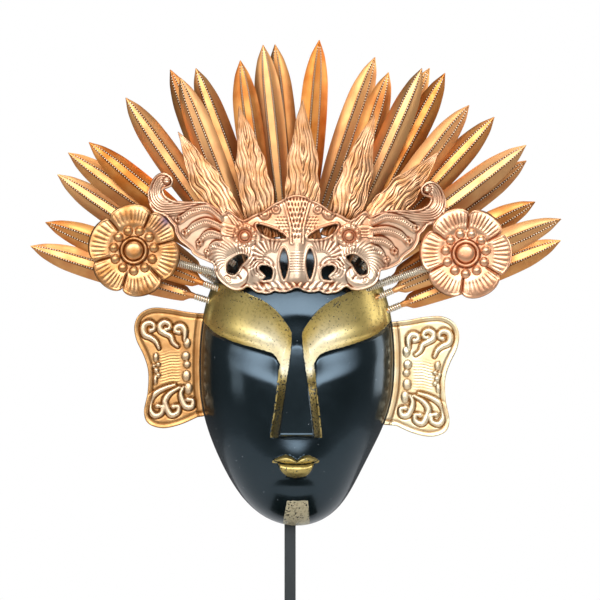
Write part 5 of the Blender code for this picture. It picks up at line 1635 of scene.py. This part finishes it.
def makeFlower(name, node, side, material):
    centre = flowerCentre(side)
    count = flowerForm["columns"]
    angles = np.arange(count) * 2 * math.pi / count
    middles = np.sort(np.radians(petalTurns[side]) % (2 * math.pi))
    bounds = (middles + np.append(middles[1:], middles[0] + 2 * math.pi)) / 2
    owner = np.searchsorted(bounds, np.where(angles < bounds[-1] - 2 * math.pi, angles + 2 * math.pi, angles))
    owner = owner % flowerForm["petals"]
    delta = (angles - middles[owner] + math.pi) % (2 * math.pi) - math.pi
    low = (middles[owner] - bounds[owner - 1] + math.pi) % (2 * math.pi) - math.pi
    high = (bounds[owner] - middles[owner] + math.pi) % (2 * math.pi) - math.pi
    across = np.where(delta < 0, delta / low, delta / high)
    edge = flowerForm["radius"] * (0.84 + 0.16 * np.clip(1.0 - np.abs(across) ** 2.6, 0.0, 1.0) ** 0.55)
    share = 1.0 - (1.0 - np.linspace(0.012, 1.0, flowerForm["rows"])[:, None]) ** 1.15
    radius = share * edge
    q = radius / flowerForm["radius"]
    height = flowerForm["dome"] * curveAt(flowerProfile, np.minimum(q, share))
    onPetal = smoothStep(0.46, 0.58, q)
    flutes = np.abs(np.cos(math.pi * across * flowerForm["flutesPerPetal"] / 2)) ** 0.45
    fluted = smoothStep(0.58, 0.68, q) * smoothStep(0.97, 0.84, share) * (1 - 0.4 * np.abs(across))
    height = height - flowerForm["fluteDepth"] * (1.0 - flutes) * fluted * 1.6
    height = height + onPetal * (flowerForm["overlap"] * (0.5 * across - 0.25) * share)
    height = height - onPetal * 1.2 * mm * bell(1.0 - np.abs(across), 0.09)
    rolled = bell(share - 0.965, 0.022) * 0.35 * mm
    height = np.maximum(height + rolled * onPetal, 0.15 * mm) + flowerForm["thickness"]
    height[-1] = flowerForm["thickness"] * 0.9

    def at(radii, forward):
        return np.stack((centre.x + np.cos(angles) * radii, centre.y - forward + angles * 0.0,
                         centre.z + np.sin(angles) * radii), -1)

    front = np.array([at(r, h) for r, h in zip(radius, height)])
    hollow = flowerForm["dome"] * 0.12
    behind = np.array([at(edge * s, depth + 0.0 * edge) for s, depth in
                       ((1.0, 0.0), (0.97, hollow * 0.5), (0.85, hollow), (0.4, hollow), (0.012, hollow))])
    vertices = np.concatenate((front, behind)).reshape(-1, 3)
    rings = len(front) + len(behind)
    faces = gridFaces(rings, count, closed=True)
    top = len(vertices)
    vertices = np.vstack((vertices, (centre.x, centre.y - height[0].mean(), centre.z),
                          (centre.x, centre.y - hollow, centre.z)))
    for k in range(count):
        n = (k + 1) % count
        faces.append([k, n, top])
        faces.append([(rings - 1) * count + n, (rings - 1) * count + k, top + 1])
    triangles = gridTriangles(len(front), count, closed=True)
    recessShade = recessOf(height.ravel(), triangles, 10, flowerForm["fullRecess"])
    rest = len(vertices) - len(recessShade)
    stain = bell(angles - stainedPetal["angle"], stainedPetal["spread"]) * smoothStep(0.40, 0.55, q)
    stain = stain * (0.35 + 0.65 * smoothStep(0.72, 0.95, share)) * (side == stainedPetal["side"])
    piece = addSurface(name, vertices + chinPoint, faces, material,
                       {"recessShade": np.concatenate((recessShade, np.full(rest, 0.4))),
                        "stain": np.concatenate((stain.ravel(), np.zeros(rest)))})
    dress(piece, "pale_copper", node)
    level = flowerForm["thickness"] + flowerForm["dome"] * 0.25
    turns = flowerForm["beadStart"] + 2 * math.pi * np.arange(flowerForm["beads"]) / flowerForm["beads"]
    return [Vector((centre.x + math.cos(turn) * flowerForm["beadRing"], centre.y - level,
                    centre.z + math.sin(turn) * flowerForm["beadRing"])) for turn in turns]


for word, side, material in (("Left", -1, agedAndShadedMaterial), ("Right", 1, chasedMaterial)):
    beadPoints = makeFlower(f"flowerPressing{word}", f"flower_{word.lower()}", side, material)
    guide = makeGuide([[point] for point in beadPoints], [(0.0, -1.0, 0.0)] * len(beadPoints))
    beads = growPiece(f"flowerBeads{word}", guide, domes, {
        "Diameter": flowerForm["beadDiameter"], "Height": flowerForm["beadHeight"], "Segments": 24,
        "Along Lines": False, "Material": material})
    dress(beads, "pale_copper")
print("flowers made")

springForm = {
    "diameter": 5.8 * mm,
    "wireDiameter": 0.95 * mm,
    "pitch": 1.45 * mm,
    "stepsPerTurn": 16,
    "rootAngles": {-1: math.radians(138), 1: math.radians(34)},
    "socket": 6 * mm,
    "stations": 9,
}


def springPath(side):
    # From inside the wood, forward under the wing, to behind the flower's middle
    radius = springForm["diameter"] / 2
    rootDepth = featherFront + radius
    root = surfacePoint(springForm["rootAngles"][side], rootDepth, crownArcLevel)
    start = flowerCentre(side) + Vector((side * radius, radius + maskPlace["fitGap"], 0.0))
    flat = Vector((start.x - root.x, 0.0, start.z - root.z))
    inward = -flat.normalized()
    path = [root + inward * springForm["socket"]]
    for i in range(springForm["stations"]):
        share = i / (springForm["stations"] - 1)
        point = root + flat * share
        point.y = -(rootDepth + (-start.y - rootDepth) * share**2.2)
        path.append(point)
    return path


for word, side in (("Left", -1), ("Right", 1)):
    spring = windWire(f"flowerSpring{word}", [springPath(side)], springForm["diameter"], springForm)
    dress(spring, "spring_wire", f"flower_spring_{word.lower()}")
print("springs made")


# Ear plates: waisted sheets with a border, volutes and a beaded strip along the wood

earForm = {
    "height": 85 * mm,
    "thickness": 1.0 * mm,
    "sheet": 0.7 * mm,
    "relief": 1.6 * mm,
    "fine": 0.7 * mm,
    "fullRecess": 0.36 * mm,
    "depth": 13 * mm,
    "level": maskHeight * 0.534,
    "offset": 3 * mm,
    "spacing": 0.6 * mm,
}
# Outline from the top of the inner edge round to its foot, as shares of the plate's height:
# outwards from the inner edge, and up from the plate's middle
earOutline = ((0.0, 0.46), (0.12, 0.475), (0.26, 0.50), (0.40, 0.505), (0.50, 0.455), (0.545, 0.36),
              (0.53, 0.24), (0.465, 0.10), (0.43, -0.03), (0.435, -0.20), (0.465, -0.36), (0.43, -0.46),
              (0.31, -0.50), (0.16, -0.47), (0.0, -0.40))
# Scrolls from their tails to the eyes of their curls
earScrolls = (
    ((0.338, 0.167), (0.364, 0.222), (0.409, 0.258), (0.455, 0.278), (0.472, 0.318), (0.460, 0.364),
     (0.419, 0.384), (0.384, 0.364), (0.381, 0.328), (0.408, 0.318)),
    ((0.182, 0.182), (0.222, 0.217), (0.242, 0.268), (0.288, 0.293), (0.326, 0.318), (0.330, 0.359),
     (0.298, 0.387), (0.258, 0.374), (0.249, 0.338), (0.282, 0.325)),
    ((0.126, 0.237), (0.121, 0.278), (0.126, 0.323), (0.152, 0.354), (0.192, 0.348), (0.203, 0.313),
     (0.172, 0.302)),
    ((0.207, -0.136), (0.298, -0.167), (0.379, -0.217), (0.419, -0.278), (0.419, -0.343), (0.374, -0.394),
     (0.318, -0.374), (0.313, -0.323), (0.352, -0.312)),
    ((0.167, -0.157), (0.247, -0.207), (0.288, -0.268), (0.278, -0.328), (0.237, -0.389), (0.182, -0.369),
     (0.177, -0.318), (0.220, -0.318)),
    ((0.136, -0.157), (0.157, -0.207), (0.146, -0.268), (0.116, -0.318), (0.066, -0.318), (0.056, -0.268),
     (0.098, -0.258)),
)
earBuds = ((0.105, 0.215, 0.030, 0.045), (0.115, 0.105, 0.034, 0.040), (0.105, 0.035, 0.030, 0.030),
           (0.110, -0.060, 0.034, 0.048), (0.095, -0.165, 0.034, 0.050), (0.365, 0.095, 0.022, 0.042),
           (0.345, 0.035, 0.020, 0.020), (0.385, 0.020, 0.020, 0.020), (0.362, -0.015, 0.022, 0.024),
           (0.345, -0.055, 0.020, 0.020), (0.372, -0.095, 0.020, 0.042))


def woodEdge(side, z, depth):
    # How far out the wood reaches to this side, at this height and depth
    up = z / maskHeight
    power = rimPower(up)
    span = np.maximum(ratioAtDepth(depth) ** power - np.abs(2.0 * up - 1.0) ** power, 0.0)
    return span ** (1.0 / power) * halfWidth(side, up)


def earHeights(p, rimDistance, innerDistance):
    # Height of the chased forms over an ear plate, in metres, and how far each point stands proud, 0 to 1
    base = np.zeros(len(p))
    fine = np.zeros(len(p))
    for scroll in earScrolls:
        line = smoothLine(scroll)
        distance, along, _ = lineDistance(p, line)
        share = along / np.hypot(*np.diff(line, axis=0).T).sum()
        halfTube = 0.013 + 0.015 * np.sin(math.pi * np.clip(share * 0.9 + 0.04, 0.0, 1.0))
        base = np.maximum(base, roundTop(distance / halfTube))
        base = np.maximum(base, roundForm(p, scroll[-1], 0.025))
        fine -= bell(distance - halfTube - 0.006, 0.005) * 0.35
    for out, up, wide, tall in earBuds:
        q = np.hypot((p[:, 0] - out) / wide, (p[:, 1] - up) / tall)
        base = np.maximum(base, roundTop(q) * 0.8)
    waist = smoothStep(0.17, 0.09, np.abs(p[:, 1])) * smoothStep(0.15, 0.18, p[:, 0])
    waist = waist * smoothStep(0.34, 0.31, p[:, 0])
    bowed = p[:, 1] + p[:, 0] * 0.15 + 0.004 * np.sin(p[:, 0] * 45)
    fine += waist * (waves(bowed, 0.024) - 0.5) * 0.22
    fine -= bell(rimDistance - 0.040, 0.008) * 0.9
    fine += smoothStep(0.048, 0.034, rimDistance) * 0.35 + bell(rimDistance - 0.010, 0.008) * 0.5
    fine -= bell(innerDistance - 0.050, 0.007) * 0.8
    base = base * smoothStep(0.03, 0.05, rimDistance)
    return earForm["relief"] * base + earForm["fine"] * fine, base


def makeEar(name, node, side, material):
    level = earForm["level"] - side * earForm["offset"]
    back = earForm["depth"] - earForm["thickness"]
    tall = earForm["height"]
    edge = float(woodEdge(side, level, back)) + maskPlace["fitGap"]

    def inner(up):
        return (woodEdge(side, level + up * tall, back) + maskPlace["fitGap"] - edge) / tall

    outer = smoothLine(earOutline, 8)
    outer[0, 0] = inner(outer[0, 1])
    outer[-1, 0] = inner(outer[-1, 1])
    seam = np.linspace(outer[-1, 1], outer[0, 1], 40)[1:-1]
    innerLine = np.stack((inner(seam), seam), -1)
    flat, triangles = cutPlate(np.vstack((outer, innerLine)), (), earForm["spacing"] / tall)
    rim = lineDistance(flat, outer)[0]
    innerGap = lineDistance(flat, innerLine)[0]
    heights, proud = earHeights(flat, rim, innerGap)
    recessShade = recessOf(heights, triangles, 6, earForm["fullRecess"])
    groove = smoothStep(0.052, 0.044, innerGap) * smoothStep(0.012, 0.020, innerGap)
    recessShade = np.clip(recessShade + groove * 0.5, 0.0, 1.0)
    # raised forms painted paler: partly rubbed high points, partly painted highlight
    rubbed = np.concatenate((proud * 0.5, proud * 0.0))

    def at(forward):
        return np.stack((side * (edge + flat[:, 0] * tall), -(earForm["depth"] + forward),
                         level + flat[:, 1] * tall), -1)

    vertices, faces = plateShell(at(heights), at(heights - earForm["sheet"]), triangles)
    shade = np.concatenate((recessShade, recessShade * 0.3 + 0.4))
    piece = addSurface(name, vertices + chinPoint, faces, material, {"recessShade": shade, "rubbed": rubbed})
    dress(piece, "pale_copper", node)


paleEarSheet = {
    "bright": "#f6e6bd",
    "warm": "#ecca96",
    "rubbed": "#fff5dc",
    "recessShadeColour": "#8a5a2a",
    "stain": "#5b4750",
    "roughness": (0.36, 0.48),
    "mottle": 12,
}
# Left ear: darker than the right one, partly its own tan tone and partly painted shade
tanAndShadedEarSheet = {
    "bright": "#d8a66c",
    "warm": "#bb8650",
    "rubbed": "#fff0d0",
    "recessShadeColour": "#653a12",
    "stain": "#5b4750",
    "roughness": (0.36, 0.48),
    "mottle": 12,
}
for word, side, sheet in (("Left", -1, tanAndShadedEarSheet), ("Right", 1, paleEarSheet)):
    makeEar(f"earPlate{word}", f"ear_{word.lower()}", side, sheetMetal(f"{word.lower()} ear copper", sheet))
print("ears made")


# The look of the stage: a plain pale floor, a dim room with soft boxes, and the camera

stageForm = {
    "photoWidth": 0.42,  # metres of the object's plane that the picture spans
    "viewDistance": 1.9,
    "viewHeight": 0.256,
    "viewAcross": 0.0071,
    "objectPlane": -0.01,
    "floorRadius": 0.40,
    "floorSides": 96,
    "floorTones": ("#f7f7f7", "#fdfdfd"),
    "floorRoughness": 0.8,
}
roomLight = {  # brightness that the object mirrors from each side; the picture's own ground is white
    "behind": 0.08,
    "side": 0.22,
    "front": 0.13,
    "overhead": 0.08,
    "below": 0.45,
}
# Where each of them starts and is full, along Y or Z of a unit direction
roomSpans = {"side": (0.3, -0.2), "front": (-0.55, -0.95), "overhead": (0.25, 0.9), "below": (-0.15, -0.65)}
# The main light: a soft patch of the room in front, above eye height;
# across and up are parts of a unit direction
mainLight = {
    "across": -0.04,
    "up": 0.34,
    "wide": 0.78,  # from its middle to where it has faded out
    "tall": 0.36,
    "brightness": 7.2,
    "core": 0.75,  # share of the way in at which it is brightest
}
# Name, place, aim, width and height, and brightness of the panel
softBoxes = (
    ("topPanel", (0.0, -0.15, 2.00), (0.0, 0.0, 0.30), (1.00, 0.60), 5.5),
    ("leftSoftbox", (-1.35, -1.25, 0.50), (0.0, 0.0, 0.30), (0.60, 1.00), 1.8),
    ("rightSoftbox", (1.70, 0.30, 0.60), (0.0, 0.0, 0.30), (0.90, 1.40), 3.2),
)


def makeRoom():
    # White behind the object, and for its reflections a dim room with the soft main light in it
    room = bpy.data.worlds.new("studio room")
    room.use_nodes = True
    tree = room.node_tree
    bpy.context.scene.world = room
    direction = addNode(tree, "ShaderNodeTexCoord").outputs["Generated"]
    parts = addNode(tree, "ShaderNodeSeparateXYZ", {0: direction}).outputs
    start, full = roomSpans["side"]
    plain = addNode(tree, "ShaderNodeMapRange", {
        "Value": parts["Y"], "From Min": start, "From Max": full, "To Min": roomLight["behind"],
        "To Max": roomLight["side"]}).outputs[0]
    for axis, place, gain in (("Y", "front", roomLight["front"] - roomLight["side"]),
                              ("Z", "overhead", roomLight["overhead"]), ("Z", "below", roomLight["below"])):
        start, full = roomSpans[place]
        extra = addNode(tree, "ShaderNodeMapRange", {
            "Value": parts[axis], "From Min": start, "From Max": full, "To Max": gain}).outputs[0]
        plain = addNode(tree, "ShaderNodeMath", {0: plain, 1: extra}, operation="ADD").outputs[0]
    wide, tall = mainLight["wide"], mainLight["tall"]
    patch = addNode(tree, "ShaderNodeMapping", {
        "Vector": direction, "Scale": (1.0 / wide, 0.0, 1.0 / tall),
        "Location": (-mainLight["across"] / wide, 0.0, -mainLight["up"] / tall)}).outputs[0]
    inward = addNode(tree, "ShaderNodeTexGradient", {
        "Vector": patch}, gradient_type="SPHERICAL").outputs["Fac"]
    glow = addNode(tree, "ShaderNodeMapRange", {
        "Value": inward, "From Max": mainLight["core"], "To Max": mainLight["brightness"]},
        interpolation_type="SMOOTHSTEP").outputs[0]
    facing = addNode(tree, "ShaderNodeMapRange", {
        "Value": parts["Y"], "From Min": -0.05, "From Max": -0.3}).outputs[0]
    level = addNode(tree, "ShaderNodeMath", {
        0: glow, 1: facing, 2: plain}, operation="MULTIPLY_ADD").outputs[0]
    dim = addNode(tree, "ShaderNodeBackground", {"Color": "#f6f9ff", "Strength": level}).outputs[0]
    white = addNode(tree, "ShaderNodeBackground", {"Color": "#ffffff", "Strength": 1.0}).outputs[0]
    seen = addNode(tree, "ShaderNodeLightPath").outputs["Is Camera Ray"]
    both = addNode(tree, "ShaderNodeMixShader", {0: seen, 1: dim, 2: white}).outputs[0]
    tree.links.new(both, tree.nodes["World Output"].inputs["Surface"])


def makeStage():
    material, tree, shader, place = newMaterial("matt white floor")
    dust = addNode(tree, "ShaderNodeTexNoise", {"Vector": place, "Scale": 3.0}).outputs["Fac"]
    tone = addNode(tree, "ShaderNodeMix", {
        "Factor": dust, 6: stageForm["floorTones"][0], 7: stageForm["floorTones"][1]},
        data_type="RGBA").outputs[2]
    setInputs(tree, shader, {"Base Color": tone, "Roughness": stageForm["floorRoughness"]})
    radius = stageForm["floorRadius"]
    turns = np.linspace(0.0, 2 * math.pi, stageForm["floorSides"] + 1)[:-1]
    rim = np.stack((radius * np.cos(turns), radius * np.sin(turns), turns * 0.0), -1)
    addSurface("floor", rim, [list(range(len(rim)))], material, tidyNormals=False)
    makeRoom()

    for name, spot, aim, size, brightness in softBoxes:
        lamp = bpy.data.lights.new(name, "AREA")
        lamp.shape = "RECTANGLE"
        lamp.size, lamp.size_y = size
        lamp.energy = brightness * math.pi * size[0] * size[1]
        light = addObject(name, lamp)
        light.location = spot
        light.rotation_mode = "QUATERNION"
        light.rotation_quaternion = (Vector(aim) - Vector(spot)).to_track_quat("-Z", "Y")

    lens = bpy.data.cameras.new("photoCamera")
    lens.sensor_width = 36.0
    lens.lens = lens.sensor_width * stageForm["viewDistance"] / stageForm["photoWidth"]
    camera = addObject("photoCamera", lens)
    camera.location = (stageForm["viewAcross"], stageForm["objectPlane"] - stageForm["viewDistance"],
                       stageForm["viewHeight"])
    camera.rotation_euler = (math.radians(90), 0.0, 0.0)
    bpy.context.scene.camera = camera
    bpy.context.scene.view_settings.view_transform = "Standard"


for node in ("stand_rod", "stand_foot"):
    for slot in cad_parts[node].material_slots:
        slot.material = paintMaterial
makeStage()
print("stage made")
